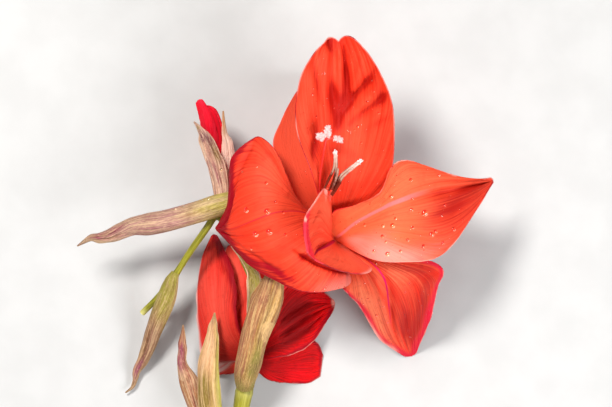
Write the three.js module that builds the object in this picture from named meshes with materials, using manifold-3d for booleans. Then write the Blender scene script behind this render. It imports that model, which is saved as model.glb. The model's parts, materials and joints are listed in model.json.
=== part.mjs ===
// A cut gladiolus spike lying on a surface: an open bloom that faces up, a second bloom under the stem,
// a bud, the sheathing bracts, and the bare stem down to its cut end.
// Millimetres, +Z up. The surface is z = 0 and the origin is under the middle of the whole thing.

import * as THREE from "three";
import Module from "manifold-3d";

const wasm = await Module();
wasm.setup();

// ---- driving dimensions -------------------------------------------------------------------------
const PETAL = 0.7; // thickness of a tepal
const PETAL_ROOT = 1.5; // thickness of a tepal where it leaves the throat
const BRACT = 0.7; // thickness of a bract
const CUT_RADIUS = 3.4; // stem at its cut end
const TIP_RADIUS = 1.15; // stem past its bend
const NODE_SWELL = 0.35; // how far a stem node stands out
const NODE_LENGTH = 4; // length of a stem node
const HOLLOW = 1.7; // cross-section of a tepal: 1 would fold it at the midrib, 2 would round it
const RUFFLES = 3; // waves along a tepal's margin
const FILAMENT_RADIUS = 0.5;
const STYLE_RADIUS = 0.5;
const LOBE_ROOT = 0.2; // where its lobes start, as a share of the way back to the point before the top
const ANTHER_RADIUS = 1.1;
const PETAL_CELLS = [14, 8]; // cells along and across a tepal of the open bloom
const SECOND_PETAL_CELLS = [12, 6]; // the same for the bloom under the stem
const BRACT_CELLS = [12, 6];
const FINEST = 0.05; // edges shorter than this are merged away after joining

const petalRed = new THREE.MeshStandardMaterial({ color: 0xe23a2c, roughness: 0.5, metalness: 0 });
const deepRed = new THREE.MeshStandardMaterial({ color: 0xc01828, roughness: 0.5, metalness: 0 });
const stemGreen = new THREE.MeshStandardMaterial({ color: 0x9aa845, roughness: 0.5, metalness: 0 });
const bractTan = new THREE.MeshStandardMaterial({ color: 0xc09a80, roughness: 0.65, metalness: 0 });
const bractGreen = new THREE.MeshStandardMaterial({ color: 0xc2bf76, roughness: 0.6, metalness: 0 });
const antherCream = new THREE.MeshStandardMaterial({ color: 0xe9d3c0, roughness: 0.8, metalness: 0 });
const styleRed = new THREE.MeshStandardMaterial({ color: 0xd8424a, roughness: 0.6, metalness: 0 });

// ---- curves and closed meshes -------------------------------------------------------------------

function curve(points) {
  const corners = points.map((p) => new THREE.Vector3(...p));
  return new THREE.CatmullRomCurve3(corners, false, "catmullrom", 0.5);
}

// A list of numbers read as a smooth function of t from 0 to 1.
function smooth(values) {
  const line = curve(values.map((value, i) => [i, value, 0]));
  return (t) => line.getPoint(t).y;
}

function closedGeometry(vertices, faces) {
  let volume = 0;
  for (const [a, b, c] of faces) {
    volume += vertices[a].dot(new THREE.Vector3().crossVectors(vertices[b], vertices[c]));
  }
  const geometry = new THREE.BufferGeometry();
  const positions = vertices.flatMap((v) => [v.x, v.y, v.z]);
  const order = volume > 0 ? faces : faces.map(([a, b, c]) => [a, c, b]);
  geometry.setAttribute("position", new THREE.Float32BufferAttribute(positions, 3));
  geometry.setIndex(order.flat());
  return geometry;
}

// Thickens a grid of middle points into a closed leaf. Both faces are split along the same diagonals.
// Where a face would dip under the surface at z = 0, that place is lifted to lie flat on it.
function leaf(grid, thickness) {
  const rows = grid.length;
  const columns = grid[0].length;
  const upper = [];
  const lower = [];
  for (let i = 0; i < rows; i++) {
    for (let j = 0; j < columns; j++) {
      const along = grid[Math.min(i + 1, rows - 1)][j].clone().sub(grid[Math.max(i - 1, 0)][j]);
      const across = grid[i][Math.min(j + 1, columns - 1)].clone().sub(grid[i][Math.max(j - 1, 0)]);
      const normal = across.cross(along).normalize();
      const offset = normal.multiplyScalar(thickness(i / (rows - 1)) / 2);
      const above = grid[i][j].clone().add(offset);
      const below = grid[i][j].clone().sub(offset);
      const sunk = Math.min(above.z, below.z, 0);
      above.z -= sunk;
      below.z -= sunk;
      upper.push(above);
      lower.push(below);
    }
  }
  const count = rows * columns;
  const faces = [];
  for (let i = 0; i + 1 < rows; i++) {
    for (let j = 0; j + 1 < columns; j++) {
      const a = i * columns + j;
      const b = a + 1;
      const c = a + columns + 1;
      const d = a + columns;
      const split = j < (columns - 1) / 2 ? [[a, b, c], [a, c, d]] : [[a, b, d], [b, c, d]];
      for (const [p, q, r] of split) {
        faces.push([p, q, r], [p + count, r + count, q + count]);
      }
    }
  }
  const rim = [];
  for (let j = 0; j < columns - 1; j++) rim.push(j);
  for (let i = 0; i < rows - 1; i++) rim.push(i * columns + columns - 1);
  for (let j = columns - 1; j > 0; j--) rim.push((rows - 1) * columns + j);
  for (let i = rows - 1; i > 0; i--) rim.push(i * columns);
  rim.forEach((p, k) => {
    const q = rim[(k + 1) % rim.length];
    faces.push([p, p + count, q], [q, p + count, q + count]);
  });
  return closedGeometry([...upper, ...lower], faces);
}

// A closed rod along a curve. radius(t, angle) gives its surface, and flat squeezes it along one side.
function rod(points, radius, rings, sides, flat = 1) {
  const line = curve(points);
  const vertices = [];
  const faces = [];
  let side = new THREE.Vector3(0, 0, 1);
  for (let i = 0; i <= rings; i++) {
    const t = i / rings;
    const centre = line.getPoint(t);
    const ahead = line.getTangent(t);
    side = side.clone().addScaledVector(ahead, -side.dot(ahead)).normalize();
    const other = new THREE.Vector3().crossVectors(ahead, side);
    for (let k = 0; k < sides; k++) {
      const angle = (2 * Math.PI * k) / sides;
      const r = radius(t, angle);
      const point = centre.clone().addScaledVector(side, r * flat * Math.cos(angle));
      point.addScaledVector(other, r * Math.sin(angle));
      point.z = Math.max(point.z, 0);
      vertices.push(point);
    }
  }
  vertices.push(line.getPoint(0), line.getPoint(1));
  const first = (rings + 1) * sides;
  for (let k = 0; k < sides; k++) {
    const next = (k + 1) % sides;
    for (let i = 0; i < rings; i++) {
      const a = i * sides + k;
      const b = i * sides + next;
      faces.push([a, b, b + sides], [a, b + sides, a + sides]);
    }
    faces.push([first, next, k], [first + 1, rings * sides + k, rings * sides + next]);
  }
  return closedGeometry(vertices, faces);
}

function solidOf(geometry) {
  return new wasm.Manifold(new wasm.Mesh({
    numProp: 3,
    vertProperties: new Float32Array(geometry.getAttribute("position").array),
    triVerts: new Uint32Array(geometry.getIndex().array),
  }));
}

function joined(geometries) {
  const [first, ...others] = geometries.map(solidOf);
  const body = others.reduce((sum, solid) => sum.add(solid), first).simplify(FINEST).getMesh();
  const geometry = new THREE.BufferGeometry();
  geometry.setAttribute("position", new THREE.BufferAttribute(new Float32Array(body.vertProperties), 3));
  geometry.setIndex(new THREE.BufferAttribute(new Uint32Array(body.triVerts), 1));
  return geometry;
}

// ---- tepals ---------------------------------------------------------------------------------------

// A tepal hangs on three lines from root to tip: its left margin, its midrib and its right margin.
// wave is the height of the ruffles on its margins and pleat the depth of the folds beside its midrib.
function tepal(shape, cells) {
  const { left, rib, right, wave = 0, pleat = 0 } = shape;
  const margins = [curve(left), curve(rib), curve(right)];
  const grid = [];
  for (let i = 0; i <= cells[0]; i++) {
    const u = i / cells[0];
    const [a, m, b] = margins.map((line) => line.getPoint(u));
    const half = b.clone().sub(a).multiplyScalar(0.5);
    const lift = a.clone().add(b).multiplyScalar(0.5).sub(m);
    const ahead = margins[1].getTangent(u);
    const normal = new THREE.Vector3().crossVectors(half, ahead).normalize();
    const row = [];
    for (let j = 0; j <= cells[1]; j++) {
      const v = (2 * j) / cells[1] - 1;
      const edge = Math.abs(v);
      const ruffle = wave * edge ** 3 * Math.sin(2 * Math.PI * RUFFLES * u + (v > 0 ? 1 : 0));
      const fold = pleat * Math.cos(3 * Math.PI * v) * (1 - edge ** 2);
      const point = m.clone().addScaledVector(half, v).addScaledVector(lift, edge ** HOLLOW);
      point.addScaledVector(normal, (ruffle + fold) * Math.sin(Math.PI * u));
      row.push(point);
    }
    grid.push(row);
  }
  return leaf(grid, (u) => PETAL + (PETAL_ROOT - PETAL) * (1 - u) ** 4);
}

const openBloom = {
  hood: {
    left: [[17, 39, 34], [10, 61, 60], [4.5, 77, 66], [6, 94, 68], [12, 104.5, 67], [17, 108.5, 65]],
    rib: [[19, 39.5, 33], [20, 57.5, 50], [21, 74, 55], [21, 89.5, 58], [20.5, 101, 61], [19.5, 107.5, 62]],
    right: [[21, 39.5, 34], [34.5, 58.5, 58], [39, 76, 65], [36.5, 90.5, 68], [29, 103.5, 67], [22, 110, 65]],
    pleat: 0.6,
    wave: 0.5,
  },
  upperLeft: {
    left: [[16, 37.5, 31], [2.5, 52.5, 45], [-4, 69.5, 43], [-1, 81, 32], [4.5, 92, 17], [11, 98.5, 3]],
    rib: [[17, 38.5, 31], [10, 55, 40], [7.5, 67.5, 38], [7.5, 82, 26], [10, 93, 12], [12.5, 99, 1]],
    right: [[18.5, 39.5, 31], [19, 57, 38], [20, 69.5, 33], [19.5, 83, 21], [17.5, 94, 10], [14, 98.5, 1]],
  },
  left: {
    left: [[19.5, 35, 33], [22.5, 21, 46], [10, 18, 50], [-3, 21, 48], [-15, 28, 42], [-23, 35.5, 36]],
    rib: [[17, 37, 34], [8.5, 46, 50], [-1.5, 47, 57], [-10.5, 44, 56], [-18.5, 40, 48], [-24.5, 37.5, 35]],
    right: [[16.5, 39, 34], [6, 50, 51], [-4, 69, 54], [-13.5, 73, 50], [-20, 58.5, 46], [-24, 40.5, 36]],
    wave: 0.8,
  },
  right: {
    left: [[20, 39.5, 34], [25.5, 52, 49], [37.5, 65.5, 52], [51, 63.5, 50], [63.5, 59.5, 46],
      [75.5, 59.5, 38]],
    rib: [[20.5, 38, 33], [31, 45, 48], [41.5, 51, 52], [53.5, 55, 51], [65.5, 57, 46], [76.5, 58.5, 37]],
    right: [[21, 36, 34], [31.5, 30, 51], [43, 29, 54], [56, 31, 50], [67, 43, 44], [76.5, 57.5, 37]],
    wave: 0.8,
  },
  lowerRight: {
    left: [[21.5, 37, 31], [41.5, 31, 45], [57, 27.5, 42], [56.5, 17.5, 32], [53.5, 3, 15], [50.5, -7, 1]],
    rib: [[20, 36, 31], [30.5, 28, 44], [38, 20.5, 43], [42.5, 11.5, 32], [45.5, 1, 15], [48.5, -8.5, 0]],
    right: [[18.5, 34.5, 31], [20.5, 21, 42], [23.5, 17, 40], [29, 10, 30], [36.5, -2, 13], [45.5, -8.5, 1]],
    wave: 0.7,
  },
  lip: {
    left: [[20.5, 35.5, 35], [28.5, 29, 45], [31.5, 26, 53], [26.5, 25, 62], [20, 26.5, 70], [11.5, 30, 75]],
    rib: [[18.5, 36.5, 34], [17, 35.5, 46], [15, 34.5, 57], [12.5, 33.5, 66], [11, 32, 72], [9.5, 31.5, 76]],
    right: [[17, 38.5, 35], [17, 48.5, 51], [14.5, 55, 60], [11, 50, 66], [8.5, 44.5, 72], [8.5, 34, 76]],
  },
};

const secondBloom = {
  upperLeft: {
    left: [[-16, -9.5, 11], [-30, -10, 10], [-33, 1, 8], [-33.5, 15, 7], [-32, 28.5, 4], [-28.5, 37, 1]],
    rib: [[-14.5, -7.5, 13], [-23.5, 0.5, 18], [-27.5, 12, 17], [-29, 23, 13], [-28.5, 31.5, 7],
      [-27.5, 38, 1]],
    right: [[-13.5, -6.5, 14], [-17.5, 5.5, 20], [-18, 15.5, 19], [-19.5, 25, 16], [-23, 32.5, 9],
      [-26, 37.5, 1]],
  },
  upper: {
    left: [[-14.5, -7, 14], [-17, 7, 15], [-18, 16.5, 12], [-18, 25.5, 9], [-15, 33, 5], [-9.5, 37.5, 0]],
    rib: [[-13, -6.5, 14], [-11.5, 7, 17], [-10, 16.5, 15], [-9, 25.5, 11], [-8, 32.5, 6], [-7, 37.5, 0]],
    right: [[-12, -7, 14], [-5.5, 7, 18], [-1.5, 16.5, 16], [0.5, 25, 12], [-1, 32.5, 6], [-4.5, 37.5, 0]],
  },
  right: {
    left: [[-12.5, -6.5, 14], [-7.5, 9.5, 20], [-1, 19, 18], [7, 20.5, 14], [14, 17, 8], [18.5, 13, 2]],
    rib: [[-11.5, -7.5, 13], [-3.5, 0, 18], [2.5, 4.5, 17], [9, 8.5, 13], [14, 10.5, 7], [19, 11.5, 1]],
    right: [[-11.5, -9.5, 12], [-3.5, -8, 16], [2.5, -7, 15], [9.5, -3.5, 11], [15, 3.5, 7], [18.5, 9, 2]],
  },
  lowerRight: {
    left: [[-11.5, -8, 11], [-3.5, -6.5, 10], [2.5, -4.5, 7], [8.5, -2, 4], [12.5, -3.5, 2], [14.5, -8, 1]],
    rib: [[-11.5, -10, 10], [-5.5, -12, 9], [0, -12.5, 6], [5.5, -13, 3], [10, -13, 1], [14, -12.5, 0]],
    right: [[-13, -10.5, 10], [-7.5, -16.5, 6], [-2, -18.5, 3], [4, -19, 1], [9, -19, 0], [13.5, -16.5, 0]],
  },
  lower: {
    left: [[-12, -10.5, 9], [-4, -6, 5], [2, 1.5, 2], [4, 10, 0], [1.5, 18.5, 0], [-3, 26, 0]],
    rib: [[-13.5, -11, 8], [-12.5, -3.5, 5], [-11, 4.5, 2.5], [-9, 13.5, 0], [-6.5, 20.5, 0], [-5, 26.5, 0]],
    right: [[-15, -10.5, 9], [-21.5, -5.5, 5], [-24.5, 3, 2], [-22, 12, 0], [-16, 20, 0], [-7.5, 26.5, 0]],
  },
  lowerLeft: {
    left: [[-15, -11.5, 10], [-17, -14, 8], [-20.5, -15, 5], [-24, -15.5, 3], [-27.5, -16, 1],
      [-29.5, -16.5, 0]],
    rib: [[-14.5, -9.5, 11], [-19, -8.5, 11], [-22.5, -11, 8], [-25.5, -13, 5], [-28, -14.5, 2],
      [-30.5, -15.5, 0]],
    right: [[-15, -8, 12], [-20.5, -5.5, 13], [-26.5, -5.5, 10], [-30, -8, 6], [-32, -11.5, 3],
      [-31.5, -15, 0]],
  },
};

// The perianth tube from the stem to the throat, widening to a rounded end that the tepals grow from.
const openTube = [[-15, -18, 23.5], [-12.5, -8.5, 28.7], [-9.5, 2.5, 32], [-6.5, 12.5, 33.5],
  [-2.5, 19.5, 33],
  [4.5, 27, 32], [12.5, 33, 31], [17, 36, 31], [20.5, 38, 34]];
const openTubeRadii = smooth([1.1, 2.2, 2.5, 2.6, 2.8, 3.2, 3.9, 4.6, 1.5]);
const secondTube = [[-16, -24.5, 11], [-14.5, -19, 11], [-13.5, -13, 12], [-13, -8.5, 12.5], [-13, -5, 12.5]];
const secondTubeRadii = smooth([1.5, 2, 2.6, 3.4, 1.2]);

function bloom(tepals, cells, tube, radii) {
  const blades = Object.values(tepals).map((shape) => tepal(shape, cells));
  return joined([rod(tube, radii, 16, 8), ...blades]);
}

// ---- stamens and styles ---------------------------------------------------------------------------

function spindle(start, end, radius, flat) {
  const middle = start.map((value, i) => (value + end[i]) / 2);
  return rod([start, middle, end], (t) => radius * (0.25 + 0.75 * Math.sin(Math.PI * t) ** 0.5), 8, 8, flat);
}

// The filament runs into its anther a little above the anther's lower end.
function stamen({ filament, anther }) {
  const [start, end] = anther;
  return joined([rod(filament, () => FILAMENT_RADIUS, 8, 6), spindle(start, end, ANTHER_RADIUS, 0.75)]);
}

// The lobes spread from a root a little below the style's top.
function style({ line, lobes }) {
  const [below, top] = line.slice(-2);
  const root = top.map((value, i) => value + (below[i] - value) * LOBE_ROOT);
  const parts = [rod(line, () => STYLE_RADIUS, 12, 6)];
  for (const end of lobes) {
    const middle = end.map((value, i) => (value + root[i]) / 2);
    parts.push(rod([root, middle, end], (t) => 0.6 + 0.8 * Math.sin((Math.PI * t) / 1.25) ** 2, 6, 7, 0.6));
  }
  return joined(parts);
}

const openStamens = [
  { filament: [[18.3, 43, 41], [16.9, 50, 47.5], [15, 57, 56.5]], anther: [[15, 54.5, 56], [18, 67.5, 64]] },
  { filament: [[20, 43, 40.5], [19.8, 50, 47.5], [20.8, 57, 56.5]], anther: [[19.4, 54.5, 55.5],
    [27.5, 64.5, 64]] },
  { filament: [[19.2, 42, 42.2], [18, 50, 50.3], [18, 58.5, 60.5]], anther: [[17, 55.5, 59.5],
    [19.5, 63, 65]] },
];
const openStyle = {
  line: [[16.8, 44, 41.9], [14.7, 51, 49.9], [13.7, 59, 57.5], [15.5, 68, 63], [15.5, 71, 65]],
  lobes: [[12, 73, 66], [15.5, 77.5, 67], [20, 72, 67]],
};
const secondStamens = [
  { filament: [[-13.4, -4.2, 11.8], [-14, 8, 9], [-13, 16, 8]], anther: [[-13, 14, 8], [-12, 24, 5.5]] },
  { filament: [[-11.9, -4.2, 11.2], [-10, 8, 9], [-8, 15, 8]], anther: [[-8.5, 13.5, 8], [-5, 23, 5.5]] },
  { filament: [[-14.8, -4.2, 10.5], [-18, 6, 9.5], [-19, 13, 9.5]], anther: [[-19, 11.5, 9.5],
    [-19.5, 21, 7]] },
];
const secondStyle = {
  line: [[-12.7, -4, 13.1], [-13, 8, 11.5], [-12, 18, 10.5], [-11, 26, 6]],
  lobes: [[-14, 29, 4], [-10.5, 31, 3.5], [-8, 29, 4]],
};

// ---- stem ---------------------------------------------------------------------------------------

// From the cut end on the surface up to the open bloom, over the bend and down to the short cut tip.
const stemLine = [[-26, -109.6, CUT_RADIUS], [-23, -83, 5], [-19.5, -55, 10], [-16.5, -28, 16],
  [-13.5, -12.5, 20], [-11, 3, 23.5], [-10, 18, 26], [-14, 28.5, 28], [-18.5, 37, 29], [-22.5, 43.5, 29.5],
  [-25.5, 45.5, 29], [-28.5, 41, 28], [-34, 31.5, 24.5], [-39.5, 22, 21], [-47, 15, 15], [-54, 8.5, 11]];
const stemRadii = smooth([CUT_RADIUS, 3.2, 3.1, 3, 2.9, 2.6, 2.4, 2.1, 1.8, 1.5, 1.4, 1.3, 1.2,
  TIP_RADIUS, TIP_RADIUS, TIP_RADIUS]);
const stemNodes = [1.9, 3.4, 10, 13]; // places along stemLine, counted in its points

function stem() {
  const places = stemLine.length - 1;
  const stepsPerMillimetre = curve(stemLine).getLength() / places;
  const radius = (t) => {
    const bumps = stemNodes.map((node) => ((t * places - node) * stepsPerMillimetre) / NODE_LENGTH);
    return stemRadii(t) + NODE_SWELL * bumps.reduce((sum, x) => sum + Math.exp(-x * x), 0);
  };
  return rod(stemLine, radius, 48, 10);
}

// ---- bracts and bud -----------------------------------------------------------------------------

// A bract is a leaf rolled about its keel: line is the keel, outward the way the keel faces,
// width the unrolled width along it, and roll the half angle of its arc in degrees.
function bract({ line, outward, width, roll }) {
  const keel = curve(line);
  const widths = smooth(width);
  const rolls = smooth(roll);
  const outwards = curve(outward);
  const grid = [];
  for (let i = 0; i <= BRACT_CELLS[0]; i++) {
    const u = i / BRACT_CELLS[0];
    const ahead = keel.getTangent(u);
    const out = outwards.getPoint(u);
    out.addScaledVector(ahead, -out.dot(ahead)).normalize();
    const side = new THREE.Vector3().crossVectors(ahead, out);
    const half = THREE.MathUtils.degToRad(rolls(u));
    const radius = widths(u) / 2 / half;
    const row = [];
    for (let j = 0; j <= BRACT_CELLS[1]; j++) {
      const angle = half * ((2 * j) / BRACT_CELLS[1] - 1);
      const point = keel.getPoint(u).addScaledVector(out, radius * (Math.cos(angle) - 1));
      point.addScaledVector(side, radius * Math.sin(angle));
      row.push(point);
    }
    grid.push(row);
  }
  return leaf(grid, () => BRACT);
}

const UP = [0, 0, 1];
const bracts = {
  open_outer_bract: {
    line: [[-15.6, -24.5, 21.2], [-14.7, -20, 24.8], [-13.2, -10, 31.5], [-10.7, 1.5, 35.5], [-7.8, 11, 38],
      [-6, 17.5, 38.3], [-4, 23.5, 38.2], [-2.5, 27.5, 37.2]],
    outward: [UP, UP, [-0.1, 0, 1], [-0.1, 0, 1]],
    width: [13.4, 14, 15, 16.5, 16.5, 14, 9, 2],
    roll: [84, 88, 88, 88, 84, 70, 50, 30],
    material: bractTan,
  },
  open_inner_bract: {
    line: [[-13.1, -14, 23.3], [-12, -9, 24.8], [-11, -0.5, 27], [-10.5, 8.5, 28.6], [-12, 18, 30.2],
      [-15, 26, 31.8], [-20, 34.5, 33]],
    outward: [[0, 0, -1], [0, 0, -1]],
    width: [3, 4.5, 5.5, 6.5, 6.5, 4.5, 1.2],
    roll: [20, 35, 45, 40, 40, 40, 40],
    material: bractGreen,
  },
  second_outer_bract: {
    line: [[-16.4, -26, 8.6], [-14.6, -19, 7.3], [-13.4, -12, 4], [-13, -4, 1.6], [-12, 3, 0.4]],
    outward: [[0, 0, -1], [0, 0, -1]],
    width: [7.6, 7.8, 7, 6, 1.5],
    roll: [95, 75, 50, 25, 10],
    material: bractTan,
  },
  second_inner_bract: {
    line: [[-14.2, -19, 14.3], [-12.3, -13, 16.3], [-11.2, -6, 18.2], [-11, 0, 19.6]],
    outward: [UP, UP],
    width: [3.5, 5, 4.5, 1.5],
    roll: [50, 50, 40, 30],
    material: bractGreen,
  },
  left_bract: {
    line: [[-21.5, 50, 37.3], [-27.5, 48, 37.3], [-34, 46.5, 36.5], [-44, 43.3, 35.5], [-51, 42.5, 34],
      [-57, 41.8, 32.5],
      [-60.5, 40, 31], [-67, 37.5, 29], [-76.5, 34.5, 26]],
    outward: [UP, UP],
    width: [18.5, 20, 21, 22.5, 21, 15, 11, 7, 1.6],
    roll: [160, 162, 162, 155, 140, 125, 120, 110, 60],
    material: bractTan,
  },
  bud_outer_bract: {
    line: [[-24, 50, 29.3], [-24.5, 56.5, 29.3], [-25.5, 63, 29.5], [-27, 67.5, 29.8], [-29, 73, 30],
      [-31, 77.5, 30], [-33, 80, 29.4]],
    outward: [[-0.4, 0, 1], [-0.5, 0, 1]],
    width: [5, 7.5, 8, 8, 6.5, 3, 1],
    roll: [70, 65, 60, 60, 60, 50, 40],
    material: bractTan,
  },
  bud_inner_bract: {
    line: [[-22.2, 50, 24.3], [-21, 57, 23.4], [-21, 62.5, 22.6], [-21, 66.5, 22.5], [-21.5, 71.5, 22.8],
      [-22, 76, 23.6], [-22.5, 83, 24.5]],
    outward: [[0.3, 0, 1], [0.3, 0, 1]],
    width: [4, 5.5, 6.5, 6.5, 5.5, 3, 1],
    roll: [35, 35, 35, 35, 35, 40, 40],
    material: bractTan,
  },
  tip_bract: {
    line: [[-40.2, 23, 24.2], [-43.6, 18, 23.2], [-46.7, 11.5, 20.5], [-49, 5, 17.5], [-52, -4, 13],
      [-55.5, -12, 8],
      [-60.5, -22.5, 2.5]],
    outward: [[-0.1, 0.1, 1], [-0.1, 0.2, 1]],
    width: [6.8, 9, 9.6, 9, 6.5, 3.8, 1.3],
    roll: [80, 80, 80, 80, 75, 70, 50],
    material: bractTan,
  },
  lower_outer_bract: {
    line: [[-24.1, -60, 10.6], [-26.3, -50, 14], [-29.7, -38.5, 17.3], [-34, -25, 20], [-36.5, -17, 21],
      [-38, -9.5, 21.3], [-38.5, -3, 21], [-37.5, 5.5, 20.5]],
    outward: [[-0.94, 0, 0.34], [-0.3, 0, 1], UP],
    width: [6, 7, 8, 9, 8.5, 5.5, 3.5, 1],
    roll: [45, 55, 60, 60, 60, 70, 70, 50],
    material: bractTan,
  },
  lower_inner_bract: {
    line: [[-18.8, -60, 13.8], [-21.2, -52, 18.7], [-25, -41, 21], [-27.5, -27, 23.7], [-28.5, -18, 24.5],
      [-28, -10, 25], [-26.5, -2, 25], [-26, 9, 24.5]],
    outward: [[0.34, 0, 0.94], UP, UP],
    width: [5.8, 8, 9.5, 10.5, 10, 8, 5.5, 1],
    roll: [38, 48, 60, 60, 60, 55, 55, 50],
    material: bractGreen,
  },
};

// The bud's three outer tepals overlap in a spiral: each third of the way round stands out over the next.
const budLine = [[-23.2, 49.2, 27], [-23.7, 55, 26], [-24.6, 62.5, 25.6], [-26.3, 70, 25.6],
  [-27.5, 77.5, 26],
  [-29.5, 84, 27], [-30.5, 88, 27.5]];
const budRadii = smooth([1.2, 1.7, 2.1, 2.7, 3.8, 3.1, 1.2]);
const BUD_OVERLAP = 0.14; // step at a tepal's edge, as a share of the radius
const BUD_TWIST = 2.2; // turn of the spiral from base to tip, in radians

function bud() {
  const radius = (t, angle) => {
    const turn = (3 * (angle + BUD_TWIST * t)) / (2 * Math.PI);
    return budRadii(t) * (1 - BUD_OVERLAP * (turn - Math.floor(turn)));
  };
  return rod(budLine, radius, 14, 15);
}

// ---- the whole spike ----------------------------------------------------------------------------

const gladiolus = new THREE.Group();

function add(name, geometry, material) {
  const mesh = new THREE.Mesh(geometry, material);
  mesh.name = name;
  gladiolus.add(mesh);
}

add("stem", stem(), stemGreen);
add("open_bloom", bloom(openBloom, PETAL_CELLS, openTube, openTubeRadii), petalRed);
openStamens.forEach((shape, i) => add(`open_bloom_stamen_${i + 1}`, stamen(shape), antherCream));
add("open_bloom_style", style(openStyle), styleRed);
add("second_bloom", bloom(secondBloom, SECOND_PETAL_CELLS, secondTube, secondTubeRadii), deepRed);
secondStamens.forEach((shape, i) => add(`second_bloom_stamen_${i + 1}`, stamen(shape), antherCream));
add("second_bloom_style", style(secondStyle), styleRed);
add("bud", bud(), deepRed);
for (const [name, shape] of Object.entries(bracts)) add(name, bract(shape), shape.material);

export default gladiolus;
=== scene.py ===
"""A cut gladiolus spike that lies on a pale surface and is seen from above: tepals with veins, ruffles and
creases, stamens with split anthers, a feathery stigma, ribbed bracts, a bud, a fluted stem and water drops.

Lines and widths are in millimetres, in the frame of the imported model. Meshes are made in metres.
"""

import functools
import json
import math

import bpy
import numpy as np
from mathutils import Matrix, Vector

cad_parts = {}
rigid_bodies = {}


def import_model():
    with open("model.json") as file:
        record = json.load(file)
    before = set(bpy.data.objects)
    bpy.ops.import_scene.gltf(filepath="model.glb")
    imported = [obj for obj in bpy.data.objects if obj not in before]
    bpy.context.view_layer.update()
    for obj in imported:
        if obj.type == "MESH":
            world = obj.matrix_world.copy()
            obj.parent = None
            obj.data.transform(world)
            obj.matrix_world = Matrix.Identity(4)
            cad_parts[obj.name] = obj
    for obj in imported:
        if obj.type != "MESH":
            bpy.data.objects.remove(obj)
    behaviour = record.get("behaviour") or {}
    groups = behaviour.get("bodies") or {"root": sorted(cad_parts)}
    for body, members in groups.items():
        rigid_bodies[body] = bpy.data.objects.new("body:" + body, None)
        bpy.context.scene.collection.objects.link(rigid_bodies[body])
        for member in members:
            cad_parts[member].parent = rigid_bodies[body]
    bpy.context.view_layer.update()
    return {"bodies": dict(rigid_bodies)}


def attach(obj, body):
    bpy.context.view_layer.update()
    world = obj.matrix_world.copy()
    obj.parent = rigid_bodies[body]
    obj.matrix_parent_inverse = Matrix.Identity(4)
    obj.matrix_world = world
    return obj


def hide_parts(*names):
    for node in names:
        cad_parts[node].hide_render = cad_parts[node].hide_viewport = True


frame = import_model()

MM = 0.001
(BODY,) = frame["bodies"]  # the spike is one grown body
UP = (0, 0, 1)
DOWN = (0, 0, -1)

# ---- driving dimensions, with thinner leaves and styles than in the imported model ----
HOLLOW = 1.7  # cross-section of a tepal: 1 would fold it at the midrib, 2 would round it
RUFFLES = 3  # waves along a tepal's margin
PETAL = 0.42  # thickness of a tepal
PETAL_ROOT = 1.3  # thickness of a tepal where it leaves the throat
BRACT = 0.5  # thickness of a bract
CUT_RADIUS = 3.4  # stem at its cut end
TIP_RADIUS = 1.15  # stem past its bend
NODE_SWELL = 0.35  # how far a stem node stands out
NODE_LENGTH = 4
FILAMENT_RADIUS = 0.5
STYLE_RADIUS = 0.4

# ---- cells of the meshes, along a piece and across or round it ----
OPEN_CELLS = (128, 128)
SECOND_CELLS = (96, 96)
FRONT_CELLS = (64, 48)
BRACT_CELLS = (96, 40)
STEM_CELLS = (520, 56)
BUD_CELLS = (150, 120)
TUBE_CELLS = (96, 48)
FILAMENT_CELLS = (40, 16)
SAC_CELLS = (80, 28)
CLUMP_CELLS = (6, 8)
STYLE_CELLS = (60, 16)
LOBE_CELLS = (36, 24)
HAIR_CELLS = (4, 6)
DROP_CELLS = (7, 14)

# ---- finer detail ----
VEIN_START = 0.25  # the smaller, the more the veins fan out to the margins
WRINKLE = 0.11  # height of the fine folds along the veins
CRINKLE = 0.4  # height of the small waves right at a margin
SHARP = math.radians(50)
# for each wave of an irregular pattern its frequencies both ways and its phase
WAVES = ((1.0, 0.31, 0.0), (0.63, 0.87, 1.9), (-0.41, 1.27, 4.1), (1.73, -0.58, 2.6), (2.3, 1.6, 5.3))


# ---- curves and meshes ----


def spline(points):
    """A smooth line through points (Catmull-Rom), as a function of t from 0 to 1."""
    p = np.array(points, float)
    p = np.vstack([2 * p[0] - p[1], p, 2 * p[-1] - p[-2]])
    count = len(points) - 1

    def at(t):
        x = np.clip(np.asarray(t, float), 0, 1) * count
        i = np.minimum(x.astype(int), count - 1)
        w = (x - i)[..., None]
        a, b, c, d = p[i], p[i + 1], p[i + 2], p[i + 3]
        bend = (2 * a - 5 * b + 4 * c - d) * w**2 + (3 * b - a - 3 * c + d) * w**3
        return 0.5 * (2 * b + (c - a) * w + bend)

    return at


def smooth(values):
    """A list of numbers read as a smooth function of t from 0 to 1."""
    line = spline([(value, 0) for value in values])
    return lambda t: line(t)[..., 0]


def unit(vectors):
    return vectors / np.maximum(np.linalg.norm(vectors, axis=-1, keepdims=True), 1e-12)


def heading(line, count):
    """The directions of a line at count + 1 even places."""
    return unit(np.gradient(line(np.linspace(0, 1, count * 8 + 1)), axis=0)[::8])


def ramp(x, low, high):
    """0 below low, 1 above high and smooth between them."""
    t = np.clip((x - low) / (high - low), 0, 1)
    return t * t * (3 - 2 * t)


def wobble(x, y, seed=0.0):
    """A smooth irregular pattern between about -1 and 1."""
    total = sum(np.sin(a * x + b * y + c + seed * (1.7 + c)) for a, b, c in WAVES)
    return total / len(WAVES) * 1.6


def spots(u, v, places):
    """Soft patches on a leaf, each at (u, v) with its reach both ways and its strength."""
    total = np.zeros(np.broadcast(u, v).shape)
    for at_u, at_v, reach_u, reach_v, strength in places:
        total += strength * np.exp(-(((u - at_u) / reach_u) ** 2) - ((v - at_v) / reach_v) ** 2)
    return np.clip(total, 0, 1)


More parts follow.
